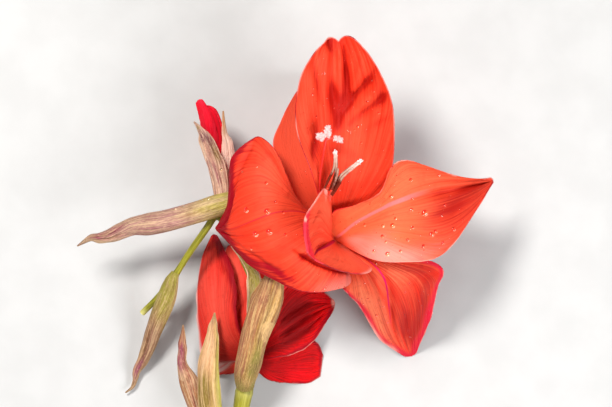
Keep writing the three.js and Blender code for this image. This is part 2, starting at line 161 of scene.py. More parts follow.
def solid(name, vertices, faces, attributes=None, sides=None):
    """A mesh object from millimetres. sides gives each face the number of its material."""
    mesh = bpy.data.meshes.new(name)
    mesh.from_pydata((np.asarray(vertices) * MM).tolist(), [], faces)
    for key, values in (attributes or {}).items():
        layer = mesh.attributes.new(key, "FLOAT", "POINT")
        layer.data.foreach_set("value", np.asarray(values, np.float32).ravel())
    if sides is not None:
        mesh.polygons.foreach_set("material_index", np.asarray(sides, np.int32))
    mesh.shade_smooth()
    mesh.set_sharp_from_angle(angle=SHARP)
    obj = bpy.data.objects.new(name, mesh)
    bpy.context.scene.collection.objects.link(obj)
    return obj


def dress(piece, node, slot, *materials):
    """Gives a piece its materials, hides the CAD node that it replaces and gives it its body. slot is not used.
    """
    for material in materials:
        piece.data.materials.append(material)
    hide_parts(node)
    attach(piece, BODY)
    return piece


def leaf(name, grid, thickness, attributes):
    """Thickens a grid of middle points into a closed leaf. Its upper face has material 0, the rest 1.
    What would dip under the surface at z = 0 is lifted to lie on it."""
    normal = unit(np.cross(np.gradient(grid, axis=1), np.gradient(grid, axis=0)))
    offset = normal * (thickness / 2)[..., None]
    upper = grid + offset
    lower = grid - offset
    sunk = np.minimum(np.minimum(upper[..., 2], lower[..., 2]), 0)
    upper[..., 2] -= sunk
    lower[..., 2] -= sunk
    count = sunk.size
    index = np.arange(count).reshape(sunk.shape)
    a, b = index[:-1, :-1].ravel(), index[:-1, 1:].ravel()
    c, d = index[1:, 1:].ravel(), index[1:, :-1].ravel()
    top = np.stack([a, b, c, d], 1)
    bottom = np.stack([d, c, b, a], 1) + count
    loop = np.concatenate([index[0, :-1], index[:-1, -1], index[-1, :0:-1], index[:0:-1, 0]])
    after = np.roll(loop, -1)
    rim = np.stack([after, loop, loop + count, after + count], 1)
    faces = np.concatenate([top, bottom, rim]).tolist()
    sides = np.repeat([0, 1], [len(top), len(bottom) + len(rim)])
    both = {key: np.concatenate([values.ravel()] * 2) for key, values in attributes.items()}
    vertices = np.concatenate([upper.reshape(-1, 3), lower.reshape(-1, 3)])
    return solid(name, vertices, faces, both, sides)


def rod_faces(rings, sides, start):
    """Faces of a closed rod whose rings are followed by the middle points of its two ends."""
    index = start + np.arange(rings * sides).reshape(rings, sides)
    following = np.roll(index, -1, 1)
    wall = np.stack([index[:-1], following[:-1], following[1:], index[1:]], -1).reshape(-1, 4)
    first = np.full(sides, start + index.size)
    near = np.stack([first, following[0], index[0]], 1)
    far = np.stack([first + 1, index[-1], following[-1]], 1)
    return wall.tolist() + near.tolist() + far.tolist()


class Bundle:
    """Several closed rods gathered into one mesh."""

    def __init__(self):
        self.vertices = []
        self.faces = []
        self.attributes = {}
        self.count = 0

    def rod(self, points, radius, cells, flat=1.0, bumps=None, **values):
        """A rod along a curve. radius and the attributes in values are numbers, or functions of t and
        of the angle round the rod. bumps is such a function too, and gives the height of its relief."""
        rings, sides = cells[0] + 1, cells[1]
        line = spline(points)
        steps = np.linspace(0, 1, rings)
        turns = np.linspace(0, 2 * math.pi, sides, endpoint=False)
        t, angle = np.meshgrid(steps, turns, indexing="ij")

        def sampled(value):
            return value(t, angle) if callable(value) else np.full(t.shape, float(value))

        places = []
        side = np.array(UP, float)
        rounds = zip(line(steps), heading(line, cells[0]), sampled(radius)[..., None])
        for centre, ahead, reach in rounds:
            side = unit(side - side @ ahead * ahead)
            ring = flat * np.cos(turns)[:, None] * side + np.sin(turns)[:, None] * np.cross(ahead, side)
            places.append(centre + reach * ring)
        places = np.array(places)
        places[..., 2] = np.maximum(places[..., 2], 0)
        if bumps is not None:
            middle = places.mean(axis=1, keepdims=True)
            places = places + unit(places - middle) * bumps(t, angle)[..., None]
        self.vertices.append(np.concatenate([places.reshape(-1, 3), line(np.array([0.0, 1.0]))]))
        self.faces += rod_faces(rings, sides, self.count)
        self.count += len(self.vertices[-1])
        known = {"along": t, "around": np.sin(angle), **{key: sampled(values[key]) for key in values}}
        for key, here in known.items():
            ends = [here[0].mean(), here[-1].mean()]
            self.attributes.setdefault(key, []).append(np.concatenate([here.ravel(), ends]))

    def finish(self, name):
        attributes = {key: np.concatenate(values) for key, values in self.attributes.items()}
        return solid(name, np.concatenate(self.vertices), self.faces, attributes)


# ---- materials ----


class Shader:
    """One material's nodes. Values are numbers, colours or the sockets of other nodes. colour is what has
    been painted so far."""

    def __init__(self, name, colour=None):
        self.material = bpy.data.materials.new(name)
        self.material.use_nodes = True
        self.tree = self.material.node_tree
        self.tree.nodes.clear()
        self.colour = colour

    def put(self, socket, value):
        if isinstance(value, bpy.types.NodeSocket):
            self.tree.links.new(value, socket)
        elif isinstance(value, tuple) and len(value) == 3 and socket.type == "RGBA":
            socket.default_value = (*value, 1)
        else:
            socket.default_value = value

    def node(self, kind, inputs=(), **settings):
        made = self.tree.nodes.new("ShaderNode" + kind)
        for key, value in settings.items():
            setattr(made, key, value)
        for key, value in dict(inputs).items():
            self.put(made.inputs[key], value)
        return made

    def attribute(self, name):
        return self.node("Attribute", attribute_name=name).outputs["Fac"]

    def maths(self, operation, a, b):
        return self.node("Math", {0: a, 1: b}, operation=operation).outputs[0]

    def times(self, a, b):
        return self.maths("MULTIPLY", a, b)

    def add(self, a, b):
        return self.maths("ADD", a, b)

    def swing(self, noise, share):
        """Noise made to swing about 0."""
        return self.times(self.maths("SUBTRACT", noise, 0.5), share)

    def step(self, value, low, high, to=(0.0, 1.0)):
        inputs = {"Value": value, "From Min": low, "From Max": high, "To Min": to[0], "To Max": to[1]}
        return self.node("MapRange", inputs, interpolation_type="SMOOTHSTEP").outputs[0]

    def patch(self, name, uneven, low, high, fade):
        """Where an attribute is high, with an uneven border."""
        mask = self.attribute(name)
        inside = self.step(self.add(mask, uneven), low, high)
        return self.times(inside, self.step(mask, 0.0, fade))

    def blend(self, factor, a, b):
        return self.node("Mix", {0: factor, 6: a, 7: b}, data_type="RGBA").outputs[2]

    def paint(self, colour, mask, share=None):
        self.colour = self.blend(mask if share is None else self.times(mask, share), self.colour, colour)

    def noise(self, vector, scale, detail):
        inputs = {"Vector": vector, "Scale": scale, "Detail": detail}
        return self.node("TexNoise", inputs).outputs["Fac"]

    def grain(self, scale, detail=2.0):
        """Noise in the piece's own space. scale is its frequency a metre."""
        return self.noise(self.node("TexCoord").outputs["Object"], scale, detail)

    def strands(self, detail=2.0, shift=0.0, **frequencies):
        """Noise in a space of up to three attributes, drawn out where an attribute's frequency is low."""
        axes = [self.times(self.attribute(name), value) for name, value in frequencies.items()] + [shift]
        place = self.node("CombineXYZ", dict(zip("XYZ", axes))).outputs[0]
        return self.noise(place, 1.0, detail)

    def finish(self, bump=None, distance=0.0, through=0.0, **sockets):
        """A Principled surface, mixed with light that comes through it from behind. bump is the height
        of its relief, as a share of distance in millimetres."""
        shape = {}
        if bump is not None:
            inputs = {"Height": bump, "Distance": distance * MM, "Strength": 1.0}
            shape["Normal"] = self.node("Bump", inputs).outputs["Normal"]
        inputs = {"Base Color": self.colour, **shape}
        inputs.update({key.replace("_", " "): value for key, value in sockets.items()})
        surface = self.node("BsdfPrincipled", inputs).outputs[0]
        if through:
            behind = {"Color": self.colour, **shape}
            glow = self.node("BsdfTranslucent", behind).outputs[0]
            surface = self.node("MixShader", {0: through, 1: surface, 2: glow}).outputs[0]
        self.node("OutputMaterial", {"Surface": surface})
        return self.material


DEEP = (0.42, 0.004, 0.002)
CRIMSON = (0.38, 0.001, 0.010)
SCARLET = (0.80, 0.004, 0.012)
ROSE = (0.88, 0.035, 0.06)
PALE = (0.95, 0.36, 0.29)
MAGENTA = (0.62, 0.003, 0.10)
# for each skin its light red, also used as painted light, its middle red, its dark red, also used as painted
# shade, its margin, its midrib, how much light comes through and its pale colour, also used as painted
# highlight
PETAL_SKINS = {
    "open_warm": ((0.95, 0.105, 0.045), (0.90, 0.042, 0.013), DEEP, CRIMSON, (0.60, 0.006, 0.04), 0.22, PALE),
    "open_orange": ((0.95, 0.16, 0.06), (0.93, 0.065, 0.028), DEEP, CRIMSON, (0.96, 0.22, 0.24), 0.22, PALE),
    "open_lower": ((0.97, 0.19, 0.085), (0.90, 0.035, 0.012), DEEP, (0.74, 0.008, 0.035), MAGENTA, 0.12, PALE),
    "open_lip": ((0.95, 0.15, 0.07), (0.93, 0.06, 0.025), DEEP, (0.93, 0.03, 0.055), MAGENTA, 0.12, PALE),
    "open_back": (ROSE, SCARLET, DEEP, CRIMSON, MAGENTA, 0.22, PALE),
    "second_bright": ((0.95, 0.10, 0.06), (0.86, 0.025, 0.016), DEEP, CRIMSON, ROSE, 0.22, (0.97, 0.58, 0.54)),
    # crimson skin of the tepals that lie under the open bloom; its darker reds are partly painted shade from
    # the bloom above
    "second_dark": ((0.98, 0.002, 0.010), (0.76, 0.001, 0.002), (0.20, 0, 0.001), CRIMSON, ROSE, 0.22, PALE),
    "second_back": (SCARLET, (0.60, 0.003, 0.012), DEEP, CRIMSON, MAGENTA, 0.22, PALE),
    "bud": ((0.95, 0.03, 0.07), (0.90, 0.003, 0.022), (0.5, 0.001, 0.006), CRIMSON, ROSE, 0.22, PALE),
}


@functools.cache
def petal_material(skin):
    """Petal skin: broad bands and fine streaks along the veins, a stained margin, a drawn midrib."""
    light, middle, dark, margin, rib, through, pale = PETAL_SKINS[skin]
    s = Shader("bud_skin" if skin == "bud" else skin.replace("_", "_petal_"))
    lines = s.attribute("lines")
    broad = s.strands(vein=7.0, along=1.6, shift=3.0)
    streak = s.strands(3.0, vein=26.0, along=2.0, shift=7.0)
    hair = s.strands(vein=75.0, along=4.0, shift=1.0)
    s.colour = s.blend(s.step(broad, 0.35, 0.75, (0.0, 0.55)), middle, light)
    # painted light: the light red, laid where a tepal should catch more light
    s.paint(light, s.attribute("light"))
    s.paint(dark, s.step(s.grain(420.0, 3.0), 0.5, 0.75), s.times(lines, 0.6))
    s.paint(dark, s.step(streak, 0.48, 0.66), lines)
    s.paint(dark, s.step(hair, 0.5, 0.66), s.times(lines, 0.35))
    s.paint(light, s.step(hair, 0.46, 0.3), 0.22)
    # darker red, partly the petal's own and partly painted shade in creases, under other parts and at overlaps
    s.paint(dark, s.patch("deep", s.swing(streak, 0.9), 0.1, 1.0, 0.2), 0.9)
    ragged = s.add(s.swing(streak, 0.8), s.swing(hair, 0.9))
    s.paint(margin, s.patch("crimson", ragged, 0.15, 0.95, 0.35))
    # pale patches, partly the tepal's own pale colour and partly painted highlights and sheen
    s.paint(pale, s.patch("pale", s.swing(hair, 0.5), 0.1, 1.0, 0.15))
    # painted highlight along the very margin
    s.paint(pale, s.step(s.attribute("edge"), 0.5, 0.15), s.attribute("brim_highlight"))
    s.paint(rib, s.step(s.attribute("rib"), 1.6, 0.6), s.attribute("ribbed"))
    relief = s.add(s.times(streak, 0.7), s.add(s.times(hair, 0.35), s.times(s.grain(2300.0, 1.0), 0.3)))
    return s.finish(relief, 0.25, through, Roughness=0.55, IOR=1.4, Specular_IOR_Level=0.2)


BROWN = (0.15, 0.045, 0.025)
CREAM = (0.80, 0.54, 0.38)
OLIVE = (0.34, 0.30, 0.04)
DRY = (0.24, 0.05, 0.08)
# for each skin its green, mauve, tan and cream, its shrivelled tip and the strength of its fine lines
BRACT_SKINS = {
    "tan": (OLIVE, (0.50, 0.22, 0.18), (0.42, 0.22, 0.08), CREAM, DRY, 0.75),
    "brown": ((0.26, 0.22, 0.035), (0.44, 0.15, 0.08), (0.48, 0.25, 0.055), (0.69, 0.43, 0.18), DRY, 0.7),
    "slate": ((0.34, 0.31, 0.035), (0.29, 0.13, 0.08), (0.40, 0.22, 0.085), (0.61, 0.39, 0.22),
        (0.30, 0.05, 0.12), 0.6),
    "long": ((0.58, 0.49, 0.09), (0.45, 0.20, 0.19), (0.47, 0.25, 0.14), (0.70, 0.48, 0.28),
        (0.32, 0.05, 0.10), 0.7),
    "rust": (OLIVE, (0.36, 0.12, 0.07), (0.45, 0.17, 0.045), (0.68, 0.44, 0.25), (0.30, 0.05, 0.10), 0.6),
    "green": ((0.45, 0.38, 0.06), (0.50, 0.34, 0.12), (0.50, 0.38, 0.14), CREAM, (0.4, 0.15, 0.1), 0.5),
    "peach": ((0.50, 0.47, 0.07), (0.71, 0.39, 0.19), (0.63, 0.36, 0.13), (0.80, 0.52, 0.28),
        (0.22, 0.15, 0.015), 0.35),
    "pale": ((0.28, 0.18, 0.03), (0.48, 0.19, 0.18), (0.80, 0.45, 0.28), (0.94, 0.64, 0.45),
        (0.12, 0.012, 0.04), 0.5),
    "blush": ((0.6, 0.5, 0.2), (0.90, 0.56, 0.45), (0.90, 0.60, 0.47), (0.95, 0.72, 0.58),
        (0.70, 0.34, 0.10), 0.15),
}


@functools.cache
def bract_material(skin):
    """Fibrous papery skin with fine dark lines and pale ridges. Masks say where it is green, mauve, brown or
    cream, and where it has shrivelled. Some of the brown is painted shade in folds and grooves, and some of
    the cream is painted highlight."""
    green, mauve, tan, cream, tip, contrast = BRACT_SKINS[skin]
    s = Shader(skin + "_bract_skin")
    wide = s.strands(vein=0.45, along=2.0, shift=2.0)
    stripe = s.strands(vein=1.5, along=3.0, shift=5.0)
    fine = s.strands(vein=3.4, along=6.0, shift=8.0)
    dash = s.strands(1.0, vein=3.6, along=42.0, shift=4.0)
    s.colour = s.blend(s.step(wide, 0.38, 0.62), mauve, tan)
    s.paint(mauve, s.attribute("mauve"), 0.85)
    s.paint(cream, s.step(stripe, 0.52, 0.38), 0.8)
    s.paint(green, s.attribute("green"), s.step(stripe, 0.3, 0.5, (0.7, 1.0)))
    dark = s.blend(0.65, s.colour, BROWN)
    s.paint(dark, s.step(stripe, 0.54, 0.66), 0.8 * contrast)
    s.paint(dark, s.step(s.grain(240.0, 3.0), 0.48, 0.7), 0.6 * contrast)
    # brown patches, partly painted shade in folds and grooves
    s.paint(BROWN, s.patch("brown", s.swing(stripe, 1.2), 0.15, 0.9, 0.2), 0.8)
    # pale margin and patches, partly painted highlights
    s.paint(cream, s.patch("cream", s.swing(fine, 1.4), 0.2, 1.0, 0.25), 0.9)
    s.paint(tip, s.attribute("tip"), s.step(stripe, 0.36, 0.56, (0.3, 1.0)))
    s.paint(dark, s.step(fine, 0.52, 0.64), contrast)
    s.paint(cream, s.step(fine, 0.47, 0.36), 0.8 * contrast)
    s.paint(dark, s.step(dash, 0.54, 0.68), 0.65 * contrast)
    s.paint(cream, s.step(dash, 0.45, 0.32), 0.65 * contrast)
    relief = s.add(s.add(s.times(stripe, 0.8), fine), s.add(dash, s.times(s.grain(1500.0), 0.25)))
    return s.finish(relief, 0.35, 0.12, Roughness=0.6, Specular_IOR_Level=0.3)


def stem_material():
    """Waxy green skin with fine pale lines, a paler bloom at the nodes and a moist cut end."""
    s = Shader("stem_skin")
    line = s.strands(3.0, around=9.0, side=9.0, along=10.0)
    broad = s.strands(around=1.3, side=1.3, along=22.0)
    s.colour = s.blend(s.step(broad, 0.35, 0.65), (0.17, 0.16, 0.006), (0.30, 0.27, 0.018))
    s.paint((0.52, 0.47, 0.11), s.step(line, 0.54, 0.72), 0.6)
    s.paint((0.10, 0.11, 0.008), s.step(line, 0.46, 0.3), 0.6)
    s.paint((0.55, 0.48, 0.16), s.attribute("node"), 0.25)
    s.paint((0.66, 0.60, 0.20), s.step(s.attribute("along"), 0.97, 1.0, (0.0, 0.8)))
    pith = s.grain(2600.0)
    s.paint(s.blend(s.step(pith, 0.4, 0.62), (0.62, 0.60, 0.28), (0.86, 0.84, 0.58)), s.attribute("cut"))
    return s.finish(
        s.add(line, s.times(pith, 0.25)),
        0.18,
        Roughness=0.45,
        Specular_IOR_Level=0.3,
        Subsurface_Weight=0.05,
        Subsurface_Radius=(0.0012, 0.0012, 0.0004),
        Subsurface_Scale=1.0,
    )


def anther_material():
    """Pollen sacs: maroon brown below, cream with brown seams above, white pollen at the tip."""
    s = Shader("anther_skin")
    along = s.attribute("along")
    grain = s.grain(3800.0, 3.0)
    line = s.add(along, s.swing(s.grain(1100.0), 0.3))
    s.colour = s.blend(s.step(line, 0.42, 0.66), (0.15, 0.012, 0.003), (0.52, 0.31, 0.23))
    s.paint((0.78, 0.57, 0.50), s.step(line, 0.74, 0.98))
    s.paint((0.30, 0.12, 0.07), s.step(grain, 0.44, 0.32), 0.5)
    seam = s.step(s.attribute("groove"), 0.3, 0.9)
    s.paint((0.16, 0.025, 0.015), seam, s.step(along, 0.95, 0.75, (0.0, 0.85)))
    s.paint((0.92, 0.80, 0.79), s.step(line, 0.94, 1.0))
    return s.finish(grain, 0.25, Roughness=0.85, Specular_IOR_Level=0.2)


def filament_material(name, low, high):
    """A smooth thread that pales from its foot to its top."""
    s = Shader(name)
    grain = s.grain(1800.0)
    s.colour = s.blend(s.step(s.attribute("along"), 0.1, 0.9), low, high)
    s.paint(high, s.step(grain, 0.5, 0.7), 0.2)
    return s.finish(
        grain,
        0.08,
        Roughness=0.4,
        Specular_IOR_Level=0.4,
        Subsurface_Weight=0.15,
        Subsurface_Radius=(0.001, 0.0003, 0.0003),
    )


def stigma_material():
    s = Shader("stigma_skin", (0.86, 0.10, 0.08))
    s.paint((0.90, 0.50, 0.47), s.step(s.attribute("along"), 0.1, 0.75))
    s.paint((0.93, 0.82, 0.81), s.step(s.attribute("white"), 0.2, 0.9))
    return s.finish(s.grain(4200.0), 0.1, 0.15, Roughness=0.55)


def water_material():
    """Clear water that lets the lamps through to what it lies on. Each drop is painted bright on its side away
    from the lamp and dark on its side towards it, as painted light for the light that a drop focuses.
    """
    s = Shader("water")
    lit = s.attribute("lit")
    # painted light and shade: bright on the side away from the lamp, dark on the side towards it
    painted_light_over_petal = s.blend(s.step(lit, -0.25, 0.5), (1.0, 0.62, 0.40), (0.5, 0.018, 0.010))
    painted_light_over_bract = s.blend(s.step(lit, -0.25, 0.5), (1.0, 0.92, 0.75), (0.28, 0.20, 0.10))
    # where the painted light and shade show, the drop lets less light through
    veiled = s.add(s.step(lit, -0.3, -0.85, (0.0, 0.55)), s.step(lit, 0.35, 0.85, (0.0, 0.6)))
    wet = {
        "Base Color": s.blend(s.attribute("on_bract"), painted_light_over_petal, painted_light_over_bract),
        "Roughness": 0.0,
        "IOR": 1.33,
        "Transmission Weight": s.maths("SUBTRACT", 1.0, veiled),
        "Specular IOR Level": 1.0,
        "Coat Weight": 1.0,
        "Coat Roughness": 0.03,
    }
    surface = s.node("BsdfPrincipled", wet).outputs[0]
    clear = s.node("BsdfTransparent").outputs[0]
    lamp = s.node("LightPath").outputs["Is Shadow Ray"]
    mixed = s.node("MixShader", {0: lamp, 1: surface, 2: clear}).outputs[0]
    s.node("OutputMaterial", {"Surface": mixed})
    return s.material


def floor_material():
    s = Shader("pale_floor", (0.50, 0.496, 0.488))
    s.paint((0.53, 0.526, 0.518), s.step(s.grain(60.0, 4.0), 0.3, 0.7))
    return s.finish(Roughness=0.75, Specular_IOR_Level=0.25)


# ---- camera, light and floor ----

CAMERA_AT = (8, 50, 784)  # straight above the open bloom
LENS = 120
SENSOR = 36
PIXEL = 0.36  # millimetres a pixel at FOCUS_HEIGHT
FOCUS_HEIGHT = 50
MIDDLE_PIXEL = (306, 203.5)
BLOOM_MIDDLE = Vector((15, 45, 30))
LAMPS = {  # for each its place, diameter, power and colour
    "key_light": ((-230, 330, 690), 190, 7.0, (1.0, 0.985, 0.96)),
    "fill_light": ((420, -260, 520), 420, 4.9, (0.98, 0.985, 1.0)),
    "low_light": ((-260, -480, 300), 360, 1.0, (1, 1, 1)),
}
SKY = (0.95, 0.97, 1.0, 1)
SKY_STRENGTH = 0.22
FLOOR = 3000  # from the middle to each side


def place_object(name, data, place):
    obj = bpy.data.objects.new(name, data)
    obj.location = Vector(place) * MM
    bpy.context.scene.collection.objects.link(obj)
    return obj


def make_camera():
    data = bpy.data.cameras.new("camera")
    data.lens = LENS
    data.sensor_width = SENSOR
    data.clip_start = 0.01
    bpy.context.scene.camera = place_object("camera", data, CAMERA_AT)


def make_studio():
    for name, (place, size, power, colour) in LAMPS.items():
        data = bpy.data.lights.new(name, "AREA")
        data.shape = "DISK"
        data.size = size * MM
        data.energy = power
        data.color = colour
        aim = (BLOOM_MIDDLE - Vector(place)) * MM
        place_object(name, data, place).rotation_euler = aim.to_track_quat("-Z", "Y").to_euler()
    world = bpy.data.worlds.new("studio")
    world.use_nodes = True
    background = world.node_tree.nodes["Background"]
    background.inputs["Color"].default_value = SKY
    background.inputs["Strength"].default_value = SKY_STRENGTH
    bpy.context.scene.world = world
    bpy.context.scene.view_settings.view_transform = "Standard"
    corners = [(x * FLOOR, y * FLOOR, 0) for x, y in ((-1, -1), (1, -1), (1, 1), (-1, 1))]
    floor = solid("floor", corners, [[0, 1, 2, 3]])
    floor.data.materials.append(floor_material())


# ---- tepals ----


def creases(u, v, folds, length, width):
    """Height in millimetres of folds. Each has the (u, v) points of its line, its width and its height.
    length and width turn u and v into millimetres."""
    height = np.zeros(np.broadcast(u, v).shape)
    for points, reach, rise in folds:
        ends = np.array(points) * (length, width)
        nearest = np.full(height.shape, 1e9)
        share = np.zeros(height.shape)
        for number, (start, end) in enumerate(zip(ends[:-1], ends[1:])):
            x, y = u * length - start[0], v * width - start[1]
            run = end - start
            t = np.clip((x * run[0] + y * run[1]) / (run @ run), 0, 1)
            far = (x - t * run[0]) ** 2 + (y - t * run[1]) ** 2
            share = np.where(far < nearest, (number + t) / (len(ends) - 1), share)
            nearest = np.minimum(nearest, far)
        fade = 0.15 + 0.85 * np.sin(math.pi * (0.06 + 0.88 * share)) ** 0.8
        uneven = 1 + 0.25 * wobble(u * 17, v * 5, rise)
        height += rise * fade * uneven * np.exp(-nearest / (reach * (0.55 + 0.45 * fade)) ** 2)
    return height


BAND = (0, 0.6, 0.9, 0.9)  # width of a stained margin, from a tepal's foot to its tip


def tepal(
    name, cells, seed, materials, node, slot, *, left, rib, right, wave=0, pleat=0, lobes=0, folds=(),
    wrinkle=1, crinkle=1, rib_width=(0.44, 0.16), rib_at=(0, 0), rib_start=(0.02, 0.12), rib_end=(0.98, 0.6),
    ribbed=0.5, band_left=BAND, band_right=BAND, crimson=(), pale=(), deep=(), light=(), fold_shade=0.9,
    throat=0.75, lines=0.45, brim_highlight=0.6,
):
    """A tepal between the lines of its margins, over which v goes from -1 to 1, with u from 0 to 1 along its
    rib. wave, pleat, lobes, folds, wrinkle and crinkle shape it. The rest says where it is stained, where it
    is paler or darker and darker towards its throat, and where light and shade are painted on it: painted shade
    in its creases and under other parts, painted light, and a painted highlight along its margin."""
    u = np.linspace(0, 1, cells[0] + 1)[:, None]
    w = np.linspace(-1, 1, cells[1] + 1)[None, :]
    v = 0.5 * w + 0.5 * np.sin(w * math.pi / 2)
    left, rib, right = (spline(points)(u[:, 0])[:, None, :] for points in (left, rib, right))
    half = (right - left) / 2
    lift = (left + right) / 2 - rib
    edge = np.abs(v)
    flat = rib + half * v[..., None] + lift * (edge**HOLLOW)[..., None]
    ahead = np.gradient(rib, axis=0)
    normal = unit(np.cross(half, ahead))
    length = np.linalg.norm(np.diff(rib[:, 0], axis=0), axis=1).sum()
    reach = np.linalg.norm(half, axis=-1)
    vein = v / (VEIN_START + u)
    body = np.sin(math.pi * u)
    ruffle = wave * edge**3 * np.sin(2 * math.pi * RUFFLES * u + (v > 0))
    pleats = pleat * np.cos(3 * math.pi * v) * (1 - edge**2)
    fold = creases(u, v, folds, length, reach.max())
    veined = wobble(vein * 30, u * 5, seed) + 0.6 * wobble(vein * 71, u * 9, seed + 1)
    fine = WRINKLE * wrinkle * ramp(u, 0.1, 0.4) * veined
    frill = CRINKLE * crinkle * edge**9 * wobble(v * 2, u * 34, seed + 3)
    height = (ruffle + pleats) * body + fine + frill * body**0.5 + fold
    tips = lobes * ramp(u, 0.86, 1.0) * (1 - (np.abs(edge - 0.5) / 0.5) ** 2)
    grid = flat + normal * height[..., None] + unit(ahead) * tips[..., None]

    places = grid.reshape(-1, 3)
    far = np.full(len(places), 1e9)
    for point in np.concatenate([grid[8:, 0], grid[8:, -1], grid[-1]]):
        far = np.minimum(far, ((places - point) ** 2).sum(1))
    distance = np.sqrt(far).reshape(grid.shape[:2])
    across = np.abs(v - smooth(rib_at)(u)) * reach
    drawn = ribbed * ramp(u, *rib_start) * ramp(u, *rib_end)
    band = np.where(v < 0, smooth(band_left)(u), smooth(band_right)(u))
    stain = band * (1.0 + 0.25 * wobble(v, u * 19, seed + 7))
    stained = ramp(distance, np.maximum(stain, 0.02) * 1.8, 0) * ramp(stain, 0.0, 0.3)
    # painted shade in the hollows of the creases
    hollow = np.clip(-fold / 2.0, 0, 1) * fold_shade
    ones = np.ones(distance.shape)
    attributes = {
        "along": u * ones,
        "vein": vein + 10 * seed,
        "edge": distance,
        "rib": across / smooth(rib_width)(u),
        "ribbed": drawn * ones,
        "crimson": np.clip(stained + spots(u, v, crimson), 0, 1),
        # pale patches, partly painted highlights and sheen
        "pale": spots(u, v, pale),
        # darker red from spots and darker towards the throat, with painted shade in the crease hollows
        "deep": np.clip(spots(u, v, deep) + throat * ramp(u, 0.24, 0.02) + hollow, 0, 1),
        # painted light, where a tepal should catch more light
        "light": spots(u, v, light),
        "lines": lines * (0.45 + 0.55 * ramp(distance, 16, 2)) * ones,
        # painted highlight along the margin
        "brim_highlight": brim_highlight * ramp(wobble(v, u * 23, seed + 5), -0.9, 0.3) * ramp(u, 0.15, 0.45) * ones,
    }
    thickness = (PETAL + (PETAL_ROOT - PETAL) * (1 - u) ** 4) * (1 - 0.45 * edge**6)
    return dress(leaf(name, grid, thickness, attributes), node, slot, *materials)
